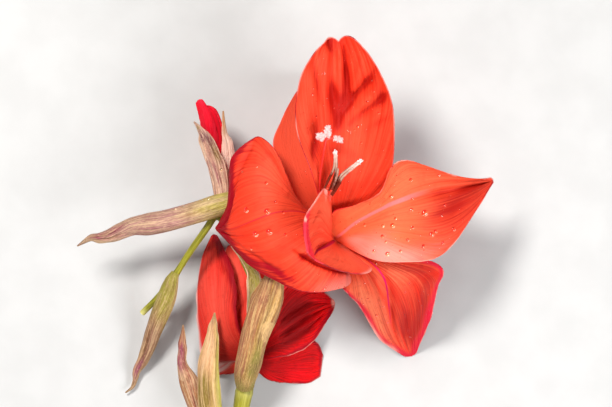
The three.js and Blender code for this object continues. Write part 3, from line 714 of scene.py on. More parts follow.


# Each tepal's skin and shape. Lines run from the foot to the tip. A fold has the (u, v) points of its line,
# its width and its height, and a spot has its u and v, its reach both ways and its strength.
# The light spots are painted light, the pale spots partly painted highlights, and the darker spots partly
# painted shade.
OPEN_TEPALS = {
    "hood": ("warm", dict(
        left=[(17, 39, 34), (10, 61, 60), (4.5, 77, 66), (5.7, 93, 68), (10.5, 102.5, 67), (14.8, 107, 65.5)],
        rib=[(19, 39.5, 33), (20, 57.5, 50), (21, 74, 55), (21, 89.5, 58), (20.5, 101, 61),
            (19.5, 107.5, 62)],
        right=[(21, 39.5, 33.5), (31, 47.5, 43), (37.4, 56.5, 48.3), (39.3, 65.8, 54.5), (39.3, 75.5, 62.5),
            (38.7, 83.3, 66.3), (36.8, 90, 68), (33.8, 96.5, 67.8), (30.5, 102, 67), (27.8, 105.4, 66.3),
            (25.2, 108, 65.5)],
        pleat=0.3, wave=0.5, lobes=1.6,
        folds=[([(0.99, -0.75), (0.93, -0.55), (0.86, -0.42), (0.78, -0.36)], 2.6, -1.4),
            ([(0.92, 0.2), (0.83, 0.14), (0.72, 0.12), (0.6, 0.12), (0.52, 0), (0.42, -0.16)], 1.9, -2),
            ([(0.72, 0.95), (0.67, 0.7), (0.59, 0.3), (0.52, 0.08)], 1.8, -2.1),
            ([(0.58, 0.95), (0.54, 0.7), (0.5, 0.38), (0.45, 0.15)], 1.7, -1.9),
            ([(0.47, 0.95), (0.44, 0.6), (0.4, 0.35)], 1.6, -1),
            ([(0.8, -0.92), (0.72, -0.82), (0.62, -0.6), (0.54, -0.48)], 1.5, -1.4),
            ([(0.66, -0.28), (0.56, -0.2), (0.44, -0.06)], 2.2, -1.6),
            ([(0.44, -0.5), (0.35, -0.6), (0.24, -0.8)], 1.7, -1.4),
            ([(0.97, 0.02), (0.85, -0.06), (0.7, -0.06)], 1.9, 1),
            ([(0.93, -0.62), (0.78, -0.5), (0.64, -0.4)], 2, 0.9),
            ([(0.8, 0.75), (0.7, 0.42), (0.6, 0.2)], 2, 1.1),
            ([(0.64, 0.85), (0.56, 0.5), (0.48, 0.22)], 1.8, 1.1),
            ([(0.9, 0.5), (0.78, 0.34), (0.66, 0.26)], 1.8, 0.8)],
        deep=[(0.55, -0.14, 0.12, 0.2, 0.5), (0.64, 0.14, 0.16, 0.1, 0.4), (0.57, 0.84, 0.05, 0.12, 0.6),
            (0.93, -0.5, 0.08, 0.22, 0.6), (0.3, -0.62, 0.12, 0.16, 0.4), (1, 0.1, 0.09, 1.2, 0.5),
            (0.86, 0.1, 0.1, 0.4, 0.3), (0.66, 0.7, 0.04, 0.2, 0.35), (0.45, 0.8, 0.18, 0.2, 0.15),
            (0.5, -0.1, 0.25, 0.4, 0.2), (0.12, 0.4, 0.1, 0.5, 0.1)],
        light=[(0.36, 0.25, 0.14, 0.3, 0.6), (0.55, 0.55, 0.04, 0.16, 0.6), (0.34, -0.86, 0.3, 0.2, 0.9),
            (0.72, -0.75, 0.18, 0.18, 0.3)],
        fold_shade=0.8, band_left=(0, 0.2, 0.2, 0.5), band_right=(0, 0.3, 0.2, 0.5), ribbed=0, lines=0.3,
        brim_highlight=0.75, throat=0.1,
    )),
    "upper_left": ("warm", dict(
        left=[(16, 37.5, 31), (2.5, 52.5, 45), (-4, 69.5, 43), (-1, 81, 32), (4.5, 92, 17), (11, 98.5, 3)],
        rib=[(17, 38.5, 31), (10, 55, 40), (7.5, 67.5, 38), (7.5, 82, 26), (10, 93, 12), (12.5, 99, 1)],
        right=[(18.5, 39.5, 31), (19, 57, 38), (20, 69.5, 33), (19.5, 83, 21), (17.5, 94, 10), (14, 98.5, 1)],
        light=[(0.45, -0.3, 0.5, 1.2, 1)], wrinkle=0.15, band_left=(0, 0.1, 0.1, 0.3),
        band_right=(0, 0.3, 0.4, 0.4), ribbed=0, lines=0, brim_highlight=0.4, throat=0.1,
    )),
    "left": ("warm", dict(
        left=[(19.5, 35, 33), (22, 27.3, 40.1), (24.2, 21.2, 46.5), (17.2, 18.6, 48.9), (10, 18.1, 50),
            (3.5, 19.2, 49.6), (-3, 21.9, 48), (-9.3, 25.9, 45.7), (-15.2, 30.4, 43), (-19.7, 34.9, 39.3),
            (-23.6, 39.2, 36.6)],
        rib=[(17, 37, 34), (8.5, 46, 50), (-1.5, 47, 57), (-10.5, 44, 56), (-18.5, 41, 48),
            (-25.1, 40.9, 35.5)],
        right=[(16.5, 39, 34), (11.2, 44, 43.4), (6, 50, 51), (0.9, 59.9, 53.8), (-3.6, 69.6, 54),
            (-8.6, 73.9, 52.5), (-13.1, 72.1, 50.5), (-18.2, 67, 49), (-19.9, 59.5, 46.8),
            (-20.3, 50.6, 42.6), (-23.9, 42.2, 37)],
        wave=0.8,
        folds=[([(0.57, 0.9), (0.68, 0.7), (0.78, 0.5), (0.88, 0.28), (0.95, 0.05)], 1.8, -1.1),
            ([(0.92, -0.15), (0.78, -0.5), (0.62, -0.7), (0.45, -0.8)], 2, -0.8),
            ([(0.5, 0.82), (0.35, 0.7)], 3, 0.7), ([(0.62, -0.35), (0.5, -0.5)], 3, 0.8),
            ([(0.35, 0.45), (0.55, 0.5)], 3, -0.5),
            ([(0.39, -0.5), (0.34, -0.62), (0.3, -0.7), (0.26, -0.76), (0.21, -0.83),
                (0.14, -0.95)], 0.9, -2.6),
            ([(0.99, -0.3), (0.9, -0.25), (0.8, -0.2)], 1.2, -0.8)],
        # the crimson and darker spots near its lower margin, from u 0.16 to 0.35, are painted shadow under the
        # lip
        crimson=[(1, 0, 0.1, 1.2, 1), (0.91, -0.35, 0.06, 0.4, 0.7), (0.84, -0.55, 0.06, 0.22, 0.8),
            (0.77, -0.75, 0.05, 0.12, 0.9), (0.69, -0.76, 0.05, 0.1, 0.9), (0.61, -0.75, 0.04, 0.1, 0.9),
            (0.55, -0.79, 0.04, 0.1, 0.8), (0.49, -0.86, 0.06, 0.08, 0.6), (0.35, -0.59, 0.03, 0.04, 0.5),
            (0.31, -0.67, 0.03, 0.04, 0.5), (0.27, -0.75, 0.04, 0.035, 0.6),
            (0.22, -0.83, 0.04, 0.035, 0.7), (0.16, -0.93, 0.05, 0.035, 0.8), (0.76, 0.84, 0.05, 0.12, 0.8),
            (0.79, 0.72, 0.05, 0.13, 0.9), (0.83, 0.6, 0.05, 0.14, 0.9)],
        pale=[(0.2, -1, 0.2, 0.14, 0.6)],
        deep=[(0.8, 0.6, 0.08, 0.2, 0.35), (0.62, 0.9, 0.1, 0.16, 0.4), (0.66, -0.7, 0.2, 0.14, 0.5),
            (0.93, 0.1, 0.06, 0.8, 0.5), (0.35, -0.6, 0.04, 0.05, 1), (0.3, -0.69, 0.04, 0.045, 1),
            (0.25, -0.77, 0.04, 0.045, 1), (0.2, -0.85, 0.05, 0.05, 0.9)],
        fold_shade=0.6, light=[(0.42, 0.3, 0.16, 0.5, 0.7), (0.3, -0.6, 0.12, 0.4, 0.6)],
        band_left=(0, 0.2, 0.2, 0.3, 0.5, 1.1, 1.9, 2.3, 2.5, 2.8, 3),
        band_right=(0, 0, 0.1, 0.15, 0.3, 0.5, 1.2, 3.2, 5.6, 6, 5.4), ribbed=0.7, rib_width=(0.28, 0.1),
        rib_end=(0.95, 0.6), lines=0.5, brim_highlight=0.05, throat=0.15,
    )),
    "right": ("orange", dict(
        left=[(16.4, 42, 40.5), (18.2, 47.2, 46.5), (25.5, 49.4, 47.4), (34.4, 54, 50), (38.6, 63, 52),
            (43.5, 65.6, 51.7), (51, 63.7, 50), (57.3, 61.4, 48.4), (63.5, 59.3, 46), (69.5, 58.6, 42.2),
            (75.5, 59.5, 38)],
        rib=[(17.8, 39, 39.5), (31, 45, 48), (41.5, 51, 52), (53.5, 55, 51), (65.5, 57, 46),
            (76.5, 58.5, 37)],
        right=[(20, 36, 36.5), (31.5, 30, 51), (43, 29, 54), (56, 31, 50), (67, 43, 44), (76.5, 57.5, 37)],
        wave=0.8,
        folds=[([(0.43, 0.05), (0.6, 0.09), (0.75, 0.12), (0.9, 0.14), (1.1, 0.2)], 1.9, -1.6),
            ([(0.45, -0.06), (0.7, -0.05), (0.95, -0.05)], 1.5, 0.8), ([(0.6, 0.45), (0.8, 0.5)], 3, -0.7),
            ([(0.3, 0.5), (0.5, 0.75)], 3, 0.5)],
        pale=[(0.22, 0.75, 0.14, 0.4, 0.6), (0.4, 0.95, 0.24, 0.2, 0.6), (0.1, 0.6, 0.06, 0.2, 0.4)],
        deep=[(0.74, 0.3, 0.2, 0.24, 0.28), (0.78, 0.6, 0.22, 0.45, 0.5), (0.87, 0.2, 0.1, 0.1, 0.45),
            (0.62, 0.45, 0.16, 0.24, 0.3), (0.92, -0.2, 0.12, 1, 0.4), (0.02, 0.4, 0.03, 0.2, 0.6)],
        crimson=[(0.95, 0.5, 0.06, 0.5, 0.4)],
        light=[(0.36, -0.35, 0.26, 0.6, 1), (0.3, 0.55, 0.2, 0.4, 1), (0.05, -0.2, 0.14, 0.9, 1)],
        band_left=(0, 0, 0.1, 0.4), band_right=(0, 0, 0.2, 0.9), fold_shade=0.6, ribbed=0.75,
        rib_width=(0.45, 0.6, 0.75, 0.5, 0.3), rib_start=(0, 0.04),
        rib_at=(0.4, 0, -0.08, -0.04, 0, 0, 0, 0, 0, 0, 0), rib_end=(0.62, 0.4), lines=0.28, brim_highlight=0.9,
        throat=0,
    )),
    "lower_right": ("lower", dict(
        left=[(21.5, 37, 31), (41.5, 31, 45), (57, 27.5, 42), (56.5, 17.5, 32), (53.5, 3, 15), (50.5, -7, 1)],
        rib=[(20, 36, 31), (30.5, 28, 44), (38, 20.5, 43), (42.5, 11.5, 32), (45.5, 1, 15), (48.5, -8.5, 0)],
        right=[(18.5, 34.5, 31), (20.5, 21, 42), (23.5, 17, 40), (29, 10, 30), (36.5, -2, 13),
            (45.5, -8.5, 1)],
        wave=0.7,
        folds=[([(0.15, -0.14), (0.35, -0.04), (0.52, 0.12), (0.74, 0.38), (0.9, 0.5)], 1.8, -1.6),
            ([(0.2, 0.05), (0.4, 0.2), (0.6, 0.42), (0.8, 0.66)], 1.8, 0.9),
            ([(0.45, -0.35), (0.65, -0.2), (0.8, 0)], 2.2, -0.7), ([(0.4, -0.65), (0.7, -0.5)], 2.2, 0.6)],
        deep=[(0.5, -0.06, 0.2, 0.14, 0.4), (0.74, 0.1, 0.16, 0.25, 0.5), (0.38, -0.72, 0.14, 0.3, 0.55),
            (0.64, -0.6, 0.2, 0.35, 0.75), (0.25, -0.3, 0.08, 0.5, 0.4), (0.82, -0.3, 0.14, 0.4, 0.7)],
        light=[(0.45, 0.65, 0.25, 0.3, 1), (0.3, -0.3, 0.12, 0.3, 0.7), (0.7, 0.75, 0.15, 0.2, 0.7)],
        fold_shade=0.5, pale=[(0.75, 1, 0.12, 0.1, 0.8), (0.9, 0.9, 0.06, 0.2, 0.6)],
        band_left=(0, 0.5, 2.2, 3.2, 3.4), band_right=(0, 0.8, 2, 2.8, 3), ribbed=1, rib_width=(0.42, 0.15),
        rib_at=(-0.2, -0.12, 0.06, 0.28, 0.5, 0.6), rib_end=(0.8, 0.5), lines=0.55, brim_highlight=0.6, throat=0.2,
    )),
    "lip": ("lip", dict(
        left=[(20.5, 35.5, 35), (28.5, 29, 45), (31.5, 26, 53), (26.5, 25, 62), (20, 26.5, 70),
            (11.5, 30, 75)],
        rib=[(18.5, 36.5, 34), (17, 35.5, 46), (15, 34.5, 57), (12.5, 33.5, 66), (11, 32, 72),
            (9.5, 31.5, 76)],
        right=[(17, 38.5, 35), (17.2, 43.7, 43.4), (17, 48.5, 51), (16, 52.7, 56.1), (14.5, 55.4, 60),
            (12.6, 53.2, 63.2), (10.6, 50, 66), (8.8, 47.6, 69.1), (7.4, 44.5, 72), (7.1, 39.6, 74.1),
            (8.2, 33.2, 76)],
        crinkle=0.6,
        folds=[([(0.05, 0.1), (0.3, 0.08), (0.55, 0.03), (0.78, 0)], 1.1, -1),
            ([(0.7, 0.94), (0.8, 0.9), (0.92, 0.82), (0.99, 0.6)], 0.9, 0.9),
            ([(0.58, 0.62), (0.44, 0.68), (0.3, 0.72)], 1.1, -0.9),
            ([(0.44, 0.86), (0.33, 0.86), (0.2, 0.8)], 1, 0.8),
            ([(0.66, 0.45), (0.48, 0.46), (0.25, 0.42)], 1.2, 0.6),
            ([(0.5, -0.3), (0.35, -0.5), (0.25, -0.6)], 1.4, -0.5)],
        crimson=[(1.02, 0.1, 0.08, 1.3, 1), (0.77, 0.88, 0.08, 0.26, 1), (0.85, 0.7, 0.08, 0.28, 1),
            (0.92, 0.52, 0.07, 0.3, 1), (0.98, 0.35, 0.05, 0.4, 1)],
        deep=[(0.5, 0.06, 0.22, 0.07, 0.8), (0.55, 0.4, 0.12, 0.2, 0.3)],
        light=[(0.35, -0.5, 0.4, 0.5, 1), (0.3, 0.7, 0.3, 0.3, 0.8)],
        pale=[(0.58, 1, 0.17, 0.05, 1), (0.79, 1, 0.02, 0.12, 1), (0.37, 1, 0.03, 0.14, 1),
            (0.45, -1, 0.12, 0.06, 1)],
        band_left=(0, 0.1, 0.3, 0.5, 0.6, 0.7, 0.8, 0.9, 1, 1.4, 1.8),
        band_right=(0, 0, 0, 0.2, 0.4, 0.5, 0.6, 1.4, 4.6, 5.2, 4.6), ribbed=0.9, rib_width=(0.5, 0.18),
        lines=0.1, brim_highlight=0.12, throat=0.1,
    )),
}

# Here too the light spots are painted light, the pale spots partly painted highlights and the darker spots
# partly painted shade.
SECOND_TEPALS = {
    "upper_left": ("bright", dict(
        left=[(-16, -9.5, 11), (-30, -10, 10), (-33, 1, 8), (-33.5, 15, 7), (-32, 28.5, 4), (-28.5, 37, 1)],
        rib=[(-14.5, -7.5, 13), (-23.5, 0.5, 18), (-27.5, 12, 17), (-29, 23, 13), (-28.5, 31.5, 7),
            (-27.5, 38, 1)],
        right=[(-13.5, -6.5, 14), (-17.5, 5.5, 20), (-18, 15.5, 19), (-19.5, 25, 16), (-23, 32.5, 9),
            (-26, 37.5, 1)],
        folds=[([(0.35, 0.75), (0.55, 0.72), (0.8, 0.5)], 1.4, -1),
            ([(0.3, 0.1), (0.5, 0.3), (0.62, 0.35)], 1.5, -0.7), ([(0.6, -0.2), (0.8, -0.1)], 1, -0.5)],
        pale=[(0.45, -1, 0.5, 0.17, 1)], light=[(0.35, 0.1, 0.25, 0.5, 0.8), (0.65, -0.4, 0.15, 0.4, 0.5)],
        deep=[(0.95, 0, 0.08, 1, 0.3)], band_left=(0, 0.1, 0.2, 0.6), band_right=(0.2, 1.2, 2.2, 2.8, 3, 3),
        ribbed=0, lines=0.42, brim_highlight=0,
    )),
    "upper": ("bright", dict(
        left=[(-14.5, -7, 13), (-20.5, 6, 12), (-22.5, 16.5, 10), (-23.5, 25.5, 8), (-22, 33.5, 5),
            (-13, 37.5, 0)],
        rib=[(-13, -6.5, 14), (-11.5, 7, 17), (-10, 16.5, 15), (-9, 25.5, 11), (-8, 32.5, 6), (-7, 37.5, 0)],
        right=[(-12, -7, 14), (-5.5, 7, 18), (-1.5, 16.5, 16), (0.5, 25, 12), (-1, 32.5, 6), (-4.5, 37.5, 0)],
        light=[(0.55, -0.8, 0.3, 0.4, 1)], folds=[([(0.2, -0.7), (0.35, -0.45), (0.5, -0.5)], 1.2, -0.8)],
        ribbed=0, lines=0.35, band_left=(0, 0, 0.2, 0.2),
    )),
    "right": ("dark", dict(
        left=[(-12.5, -6.5, 14), (-7.5, 9.5, 20), (-1, 19, 18), (7, 20.5, 14), (14, 17, 8), (18.5, 13, 2)],
        rib=[(-11.5, -7.5, 13), (-3.5, 0, 18), (2.5, 4.5, 17), (9, 8.5, 13), (14, 10.5, 7), (19, 11.5, 1)],
        right=[(-11.5, -9.5, 12), (-3.5, -8, 16), (2.5, -7, 15), (9.5, -3.5, 11), (15, 3.5, 7), (18.5, 9, 2)],
        folds=[([(0.25, 0.1), (0.6, 0.12), (0.9, 0.2)], 1, -1),
            ([(0.3, 0.45), (0.6, 0.5), (0.85, 0.4)], 1.1, -0.9),
            ([(0.3, -0.3), (0.6, -0.3), (0.9, -0.2)], 1.1, -0.9), ([(0.3, 0.28), (0.8, 0.3)], 0.9, 0.6),
            ([(0.3, -0.1), (0.85, -0.05)], 0.9, 0.6)],
        deep=[(0.45, -0.2, 0.3, 0.7, 0.9), (0.35, 0.5, 0.3, 0.3, 0.6)], pale=[(0.98, -0.3, 0.04, 0.7, 1)],
        band_right=(0, 0.8, 1.8, 2, 1.6), lines=0.6, ribbed=0,
    )),
    "lower_right": ("dark", dict(
        left=[(-11.5, -8, 11), (-3.5, -6.5, 10), (2.5, -4.5, 7), (8.5, -2, 4), (12.5, -3.5, 2),
            (14.5, -8, 1)],
        rib=[(-11.5, -10, 10), (-5.5, -12, 9), (0, -12.5, 6), (5.5, -13, 3), (10, -13, 1), (14, -12.5, 0)],
        right=[(-13, -10.5, 10), (-7.5, -16.5, 6), (-2, -18.5, 3), (4, -19, 1), (9, -19, 0),
            (13.5, -16.5, 0)],
        light=[(0.6, 0.3, 0.3, 0.5, 0.5)], deep=[(0.3, 0, 0.3, 0.8, 0.5)], band_left=(0, 0.4, 1, 1.4, 1.6),
        lines=0.5, ribbed=0, brim_highlight=0.3,
    )),
    "lower": ("dark", dict(
        left=[(-12, -10.5, 9), (-4, -6, 5), (2, 1.5, 2), (4, 10, 0), (1.5, 18.5, 0), (-3, 26, 0)],
        rib=[(-13.5, -11, 8), (-12.5, -3.5, 5), (-11, 4.5, 2.5), (-9, 13.5, 0), (-6.5, 20.5, 0),
            (-5, 26.5, 0)],
        right=[(-15, -10.5, 9), (-21.5, -5.5, 5), (-24.5, 3, 2), (-22, 12, 0), (-16, 20, 0), (-7.5, 26.5, 0)],
    )),
    "lower_left": ("bright", dict(
        left=[(-15, -11.5, 10), (-17, -14, 8), (-20.5, -15, 5), (-24, -15.5, 3), (-27.5, -16, 1),
            (-29.5, -16.5, 0)],
        rib=[(-14.5, -9.5, 11), (-19, -8.5, 11), (-22.5, -11, 8), (-25.5, -13, 5), (-28, -14.5, 2),
            (-30.5, -15.5, 0)],
        right=[(-15, -8, 12), (-20.5, -5.5, 13), (-26.5, -5.5, 10), (-30, -8, 6), (-32, -11.5, 3),
            (-31.5, -15, 0)],
        pale=[(0.4, 0.1, 0.5, 0.35, 1), (0.2, 0.3, 0.2, 0.3, 1), (0.6, -0.1, 0.2, 0.3, 1)],
        light=[(0.5, 0, 0.5, 1, 0.6)], brim_highlight=0.9,
    )),
}

OPEN_TUBE = [(-15, -18, 23.5), (-12.5, -8.5, 28.7), (-9.5, 2.5, 32), (-6.5, 12.5, 33.5), (-2.5, 19.5, 33),
    (4.5, 27, 32), (12.5, 33, 31), (17, 36, 31), (20.5, 38, 34)]
OPEN_TUBE_RADII = [1.1, 2.2, 2.5, 2.6, 2.8, 3.2, 3.9, 4.6, 1.5]
SECOND_TUBE = [(-16, -24.5, 11), (-14.5, -19, 11), (-13.5, -13, 12), (-13, -8.5, 12.5), (-13, -5, 12.5)]
SECOND_TUBE_RADII = [1.5, 2, 2.6, 3.4, 1.2]
UNSTAINED = {"edge": 9, "rib": 9, "ribbed": 0, "crimson": 0, "light": 0, "brim_highlight": 0}


def tube(bloom, line, radii, slot):
    """The perianth tube, fluted by six shallow ribs."""
    width = smooth(radii)
    bundle = Bundle()
    bundle.rod(
        line,
        lambda t, angle: width(t),
        TUBE_CELLS,
        bumps=lambda t, angle: 0.08 * np.cos(6 * angle) + 0.04 * wobble(angle * 3, t * 20),
        vein=lambda t, angle: angle / math.pi,
        pale=lambda t, angle: ramp(t, 0.35, 0.0),
        # darker towards the bloom
        deep=lambda t, angle: 0.7 * ramp(t, 0.55, 1.0),
        lines=0.5,
        **UNSTAINED,
    )
    dress(bundle.finish(f"{bloom}_bloom_tube"), f"{bloom}_bloom", slot, petal_material(f"{bloom}_back"))


def make_blooms():
    pieces = {}
    open_bloom = ("open", OPEN_TEPALS, OPEN_CELLS, "petal_red")
    second_bloom = ("second", SECOND_TEPALS, SECOND_CELLS, "petal_deep")
    for bloom, tepals, cells, slot in (open_bloom, second_bloom):
        for key, (skin, shape) in tepals.items():
            faces = (petal_material(f"{bloom}_{skin}"), petal_material(f"{bloom}_back"))
            name = f"{bloom}_tepal_{key}"
            pieces[name] = tepal(name, cells, len(pieces), faces, f"{bloom}_bloom", slot, **shape)
    tube("open", OPEN_TUBE, OPEN_TUBE_RADII, "petal_red")
    tube("second", SECOND_TUBE, SECOND_TUBE_RADII, "petal_deep")
    return pieces


# ---- stamens and styles ----

OPEN_STAMENS = [
    dict(
        filament=[(16, 41.5, 37), (14.6, 47, 44), (15.6, 55.5, 56.2)],
        anther=[(15.3, 54.8, 56), (17.2, 59.1, 59), (18.4, 62.9, 61.5), (18.4, 68.3, 64.5)],
        spread=(0.95, 0.8, 0.42, 0.2), clumps=18,
    ),
    dict(
        filament=[(16.5, 40.5, 36.5), (15.8, 47, 44), (17.2, 54, 55.8)],
        anther=[(17.2, 53, 55.5), (19.4, 57, 58.5), (21.1, 60.1, 60.5), (27.5, 65.2, 64.5)],
        spread=(0.25, 0.4, 0.45, 0.28), clumps=14,
    ),
    dict(
        filament=[(16.2, 41, 37), (15.2, 47.5, 45), (17.4, 55.5, 58)],
        anther=[(17.2, 54.9, 58), (18.2, 57.5, 60), (19, 60, 61.6), (19.4, 62.4, 62.6)],
        spread=(0.08, 0.1, 0.1, 0.08), ripe=(0.4, 0.66), plump=0.7, clumps=0,
    ),
]
OPEN_STYLE = dict(
    line=[(15.4, 43, 41), (13.2, 51, 49.9), (13, 59, 57.5), (14.2, 68, 63), (15.2, 73.6, 65)],
    lobes=[(11.8, 73.9, 66), (15.7, 77.4, 67), (20.9, 72.1, 67)], white_from=(0.2, 0.2, 0.5),
    wide=(1.2, 1.05, 0.65),
)
SECOND_STAMENS = [
    dict(
        filament=[(-13.4, -4.2, 11.8), (-14, 8, 9), (-13, 16, 8)],
        anther=[(-13, 14, 8), (-12.7, 17.5, 7.2), (-12.4, 20.5, 6.4), (-12, 24, 5.5)],
    ),
    dict(
        filament=[(-11.9, -4.2, 11.2), (-10, 8, 9), (-8, 15, 8)],
        anther=[(-8.5, 13.5, 8), (-7.3, 16.6, 7.2), (-6.2, 19.7, 6.4), (-5, 23, 5.5)],
    ),
    dict(
        filament=[(-14.8, -4.2, 10.5), (-18, 6, 9.5), (-19, 13, 9.5)],
        anther=[(-19, 11.5, 9.5), (-19.2, 14.6, 8.7), (-19.3, 17.8, 7.9), (-19.5, 21, 7)],
    ),
]
SECOND_STYLE = dict(
    line=[(-12.7, -4, 13.1), (-13, 8, 11.5), (-12, 18, 10.5), (-11, 26, 6)],
    lobes=[(-14, 29, 4), (-10.5, 31, 3.5), (-8, 29, 4)], white_from=(0.3, 0.3, 0.3), wide=(1, 1, 1),
)
LOBE_ROOT = 0.2
LOBE_WIDTH = 0.62  # half the width of a stigma lobe near its end
LOBE_THICKNESS = 0.22
FRINGE = 120  # hairs along the margin of a stigma lobe
FRINGE_LENGTH = 0.85
SAC_RADIUS = 0.52


def stamen(
    name, thread, pollen, *, filament, anther, spread=(0.9, 0.7, 0.36, 0.2), ripe=(0, 1), plump=1, clumps=14
):
    """A filament and an anther of two sacs, which part at the foot. spread is how far each sac lies from
    the middle, from the foot to the tip, ripe the ripeness at both ends and clumps the pollen at the tip."""
    bundle = Bundle()
    bundle.rod(filament, lambda t, angle: FILAMENT_RADIUS * (0.9 - 0.3 * t), FILAMENT_CELLS)
    dress(bundle.finish(f"{name}_filament"), name, "anther", thread)
    line = np.array(anther, float)
    end = line[-1]
    ahead = unit(end - line[0])
    side = unit(np.cross(ahead, UP))
    bundle = Bundle()

    def sac(t, angle):
        body = SAC_RADIUS * (0.3 + 0.7 * np.sin(math.pi * np.minimum(0.06 + 0.86 * t, 0.999)) ** 0.5)
        return body * plump * (1 - 0.1 * t)

    for way in (-1, 1):
        bundle.rod(
            line + side * way * np.array(spread)[:, None],
            sac,
            SAC_CELLS,
            1.1,
            bumps=lambda t, angle: 0.09 * wobble(angle * 7 + way, t * 50, way) * ramp(t, 0.4, 0.8),
            along=lambda t, angle: ripe[0] + (ripe[1] - ripe[0]) * t,
            groove=lambda t, angle: np.abs(np.sin(angle)) ** 2,
        )
    top = unit(end - line[-2])
    for k in range(clumps):
        turn = k * 2.4
        out = math.cos(turn) * side + math.sin(turn) * np.cross(ahead, side)
        middle = end - top * (k % 7 - 1.2) * 0.32 + out * (0.2 + 0.1 * (k % 6))
        bundle.rod(
            [middle - ahead * 0.2, middle + out * 0.1, middle + ahead * 0.2],
            lambda t, angle: 0.06 + 0.18 * np.sin(math.pi * t) ** 0.6,
            CLUMP_CELLS,
            along=1.0,
            groove=0,
        )
    dress(bundle.finish(f"{name}_anther"), name, "anther", pollen)


def style(name, thread, down, *, line, lobes, white_from, wide):
    """A thread that splits into three lobes, which widen and bear a fringe of short hairs."""
    bundle = Bundle()
    bundle.rod(line, STYLE_RADIUS, STYLE_CELLS)
    dress(bundle.finish(f"{name}_column"), name, "style", thread)
    below, top = (np.array(point) for point in line[-2:])
    root = top + (below - top) * LOBE_ROOT
    bundle = Bundle()
    for number, end in enumerate(lobes):
        stigma_lobe(bundle, root, np.array(end, float), number, wide[number], white_from[number])
    dress(bundle.finish(f"{name}_stigma"), name, "style", down)


def stigma_lobe(bundle, root, end, number, wide, white_from):
    """A narrow ribbon that widens towards its end and bears hairs, most of them near its margins."""
    ahead = unit(end - root)
    up = unit(UP - ahead[2] * ahead)
    side = np.cross(ahead, up)
    sway = side * 0.7 * math.sin(2.1 * number + 0.6)
    path = [root, (root + end) / 2 + sway + up * 0.3, end]

    def half_width(t):
        grown = wide * LOBE_WIDTH * ramp(t, white_from - 0.1, white_from + 0.25)
        return 0.2 + grown * (1 - 0.75 * ramp(t, 0.85, 1.0))

    bundle.rod(
        path,
        lambda t, angle: LOBE_THICKNESS + (half_width(t) - LOBE_THICKNESS) * np.abs(np.sin(angle)) ** 2,
        LOBE_CELLS,
        bumps=lambda t, angle: 0.14 * wobble(angle * 4, t * 22, number),
        along=lambda t, angle: ramp(t, white_from - 0.1, white_from + 0.2),
        white=lambda t, angle: 0.42 * ramp(t, white_from + 0.1, 1.0),
    )
    line = spline(path)
    draw = np.random.default_rng(number + 11)
    for k in range(FRINGE):
        t = white_from + (1 - white_from) * (k + draw.uniform(0, 1)) / FRINGE
        place = draw.uniform(-1, 1)
        place = math.copysign(abs(place) ** 0.4, place)
        out = place * side * 0.9 + up * draw.uniform(0.1, 1.0)
        out = out + ahead * draw.uniform(-0.1, 0.9) * ramp(t, 0.5, 1.0)
        foot = line(t) + side * place * half_width(t) * 0.9 + up * LOBE_THICKNESS * 0.5
        tip = foot + unit(out) * FRINGE_LENGTH * draw.uniform(0.5, 1.25)
        bend = (foot + tip) / 2 + side * draw.uniform(-0.1, 0.1)
        white = draw.uniform(0.1, 1.0)
        bundle.rod([foot, bend, tip], lambda t, angle: 0.12 - 0.05 * t, HAIR_CELLS, along=0.9, white=white)


def make_stamens():
    pale_thread = filament_material("filament_skin", (0.72, 0.02, 0.012), (0.80, 0.12, 0.08))
    red_thread = filament_material("style_skin", (0.58, 0.008, 0.003), (0.66, 0.016, 0.008))
    pollen = anther_material()
    down = stigma_material()
    open_bloom = ("open", OPEN_STAMENS, OPEN_STYLE)
    second_bloom = ("second", SECOND_STAMENS, SECOND_STYLE)
    for bloom, stamens, pistil in (open_bloom, second_bloom):
        for number, shape in enumerate(stamens, 1):
            stamen(f"{bloom}_bloom_stamen_{number}", pale_thread, pollen, **shape)
        style(f"{bloom}_bloom_style", red_thread, down, **pistil)


# ---- stem ----

STEM_LINE = [(-26, -109.6, CUT_RADIUS), (-23, -83, 5), (-19.5, -55, 10), (-16.5, -28, 16), (-13.5, -12.5, 20),
    (-11, 3, 23.5), (-10, 18, 26), (-14, 28.5, 28), (-18.5, 37, 29), (-22.5, 43.5, 29.5), (-25.5, 45.5, 29),
    (-28.7, 41, 28), (-35.5, 31.5, 24.5), (-41.8, 22, 21), (-48, 14.5, 15), (-54, 8.5, 11)]
STEM_RADII = [CUT_RADIUS, 3.2, 3.1, 3, 2.9, 2.6, 2.4, 2.1, 1.8, 1.5, 1.4, 1.3, 1.2] + [TIP_RADIUS] * 3
STEM_NODES = [1.9, 3.4, 10, 13]  # places on the line, counted in its points
STEM_RIBS = 14


def make_stem():
    """The stem: ribs run its whole length, and each node swells and bears a thin ring."""
    places = len(STEM_LINE) - 1
    samples = spline(STEM_LINE)(np.linspace(0, 1, 400))
    step = np.linalg.norm(np.diff(samples, axis=0), axis=1).sum() / places
    width = smooth(STEM_RADII)

    def at_nodes(t, sharpness):
        """1 at each node, and the sharper, the sooner it falls to 0 beside them."""
        away = [(t * places - node) * step / NODE_LENGTH for node in STEM_NODES]
        return sum(np.exp(-((x * sharpness) ** 2)) for x in away)

    def relief(t, angle):
        ribs = 0.05 * np.cos(STEM_RIBS * angle) + 0.03 * wobble(angle * 5, t * 30)
        return ribs * (1 - 0.6 * ramp(t, 0.5, 0.7)) + 0.12 * at_nodes(t, 6)

    bundle = Bundle()
    bundle.rod(
        STEM_LINE,
        lambda t, angle: width(t) + NODE_SWELL * at_nodes(t, 1),
        STEM_CELLS,
        bumps=relief,
        side=lambda t, angle: np.cos(angle),
        node=lambda t, angle: np.clip(at_nodes(t, 2.5), 0, 1),
        cut=lambda t, angle: np.where((t < 1e-6) | (t > 1 - 1e-6), 1.0, 0.0),
    )
    dress(bundle.finish("stem_skin"), "stem", "stem", stem_material())


# ---- bracts and bud ----

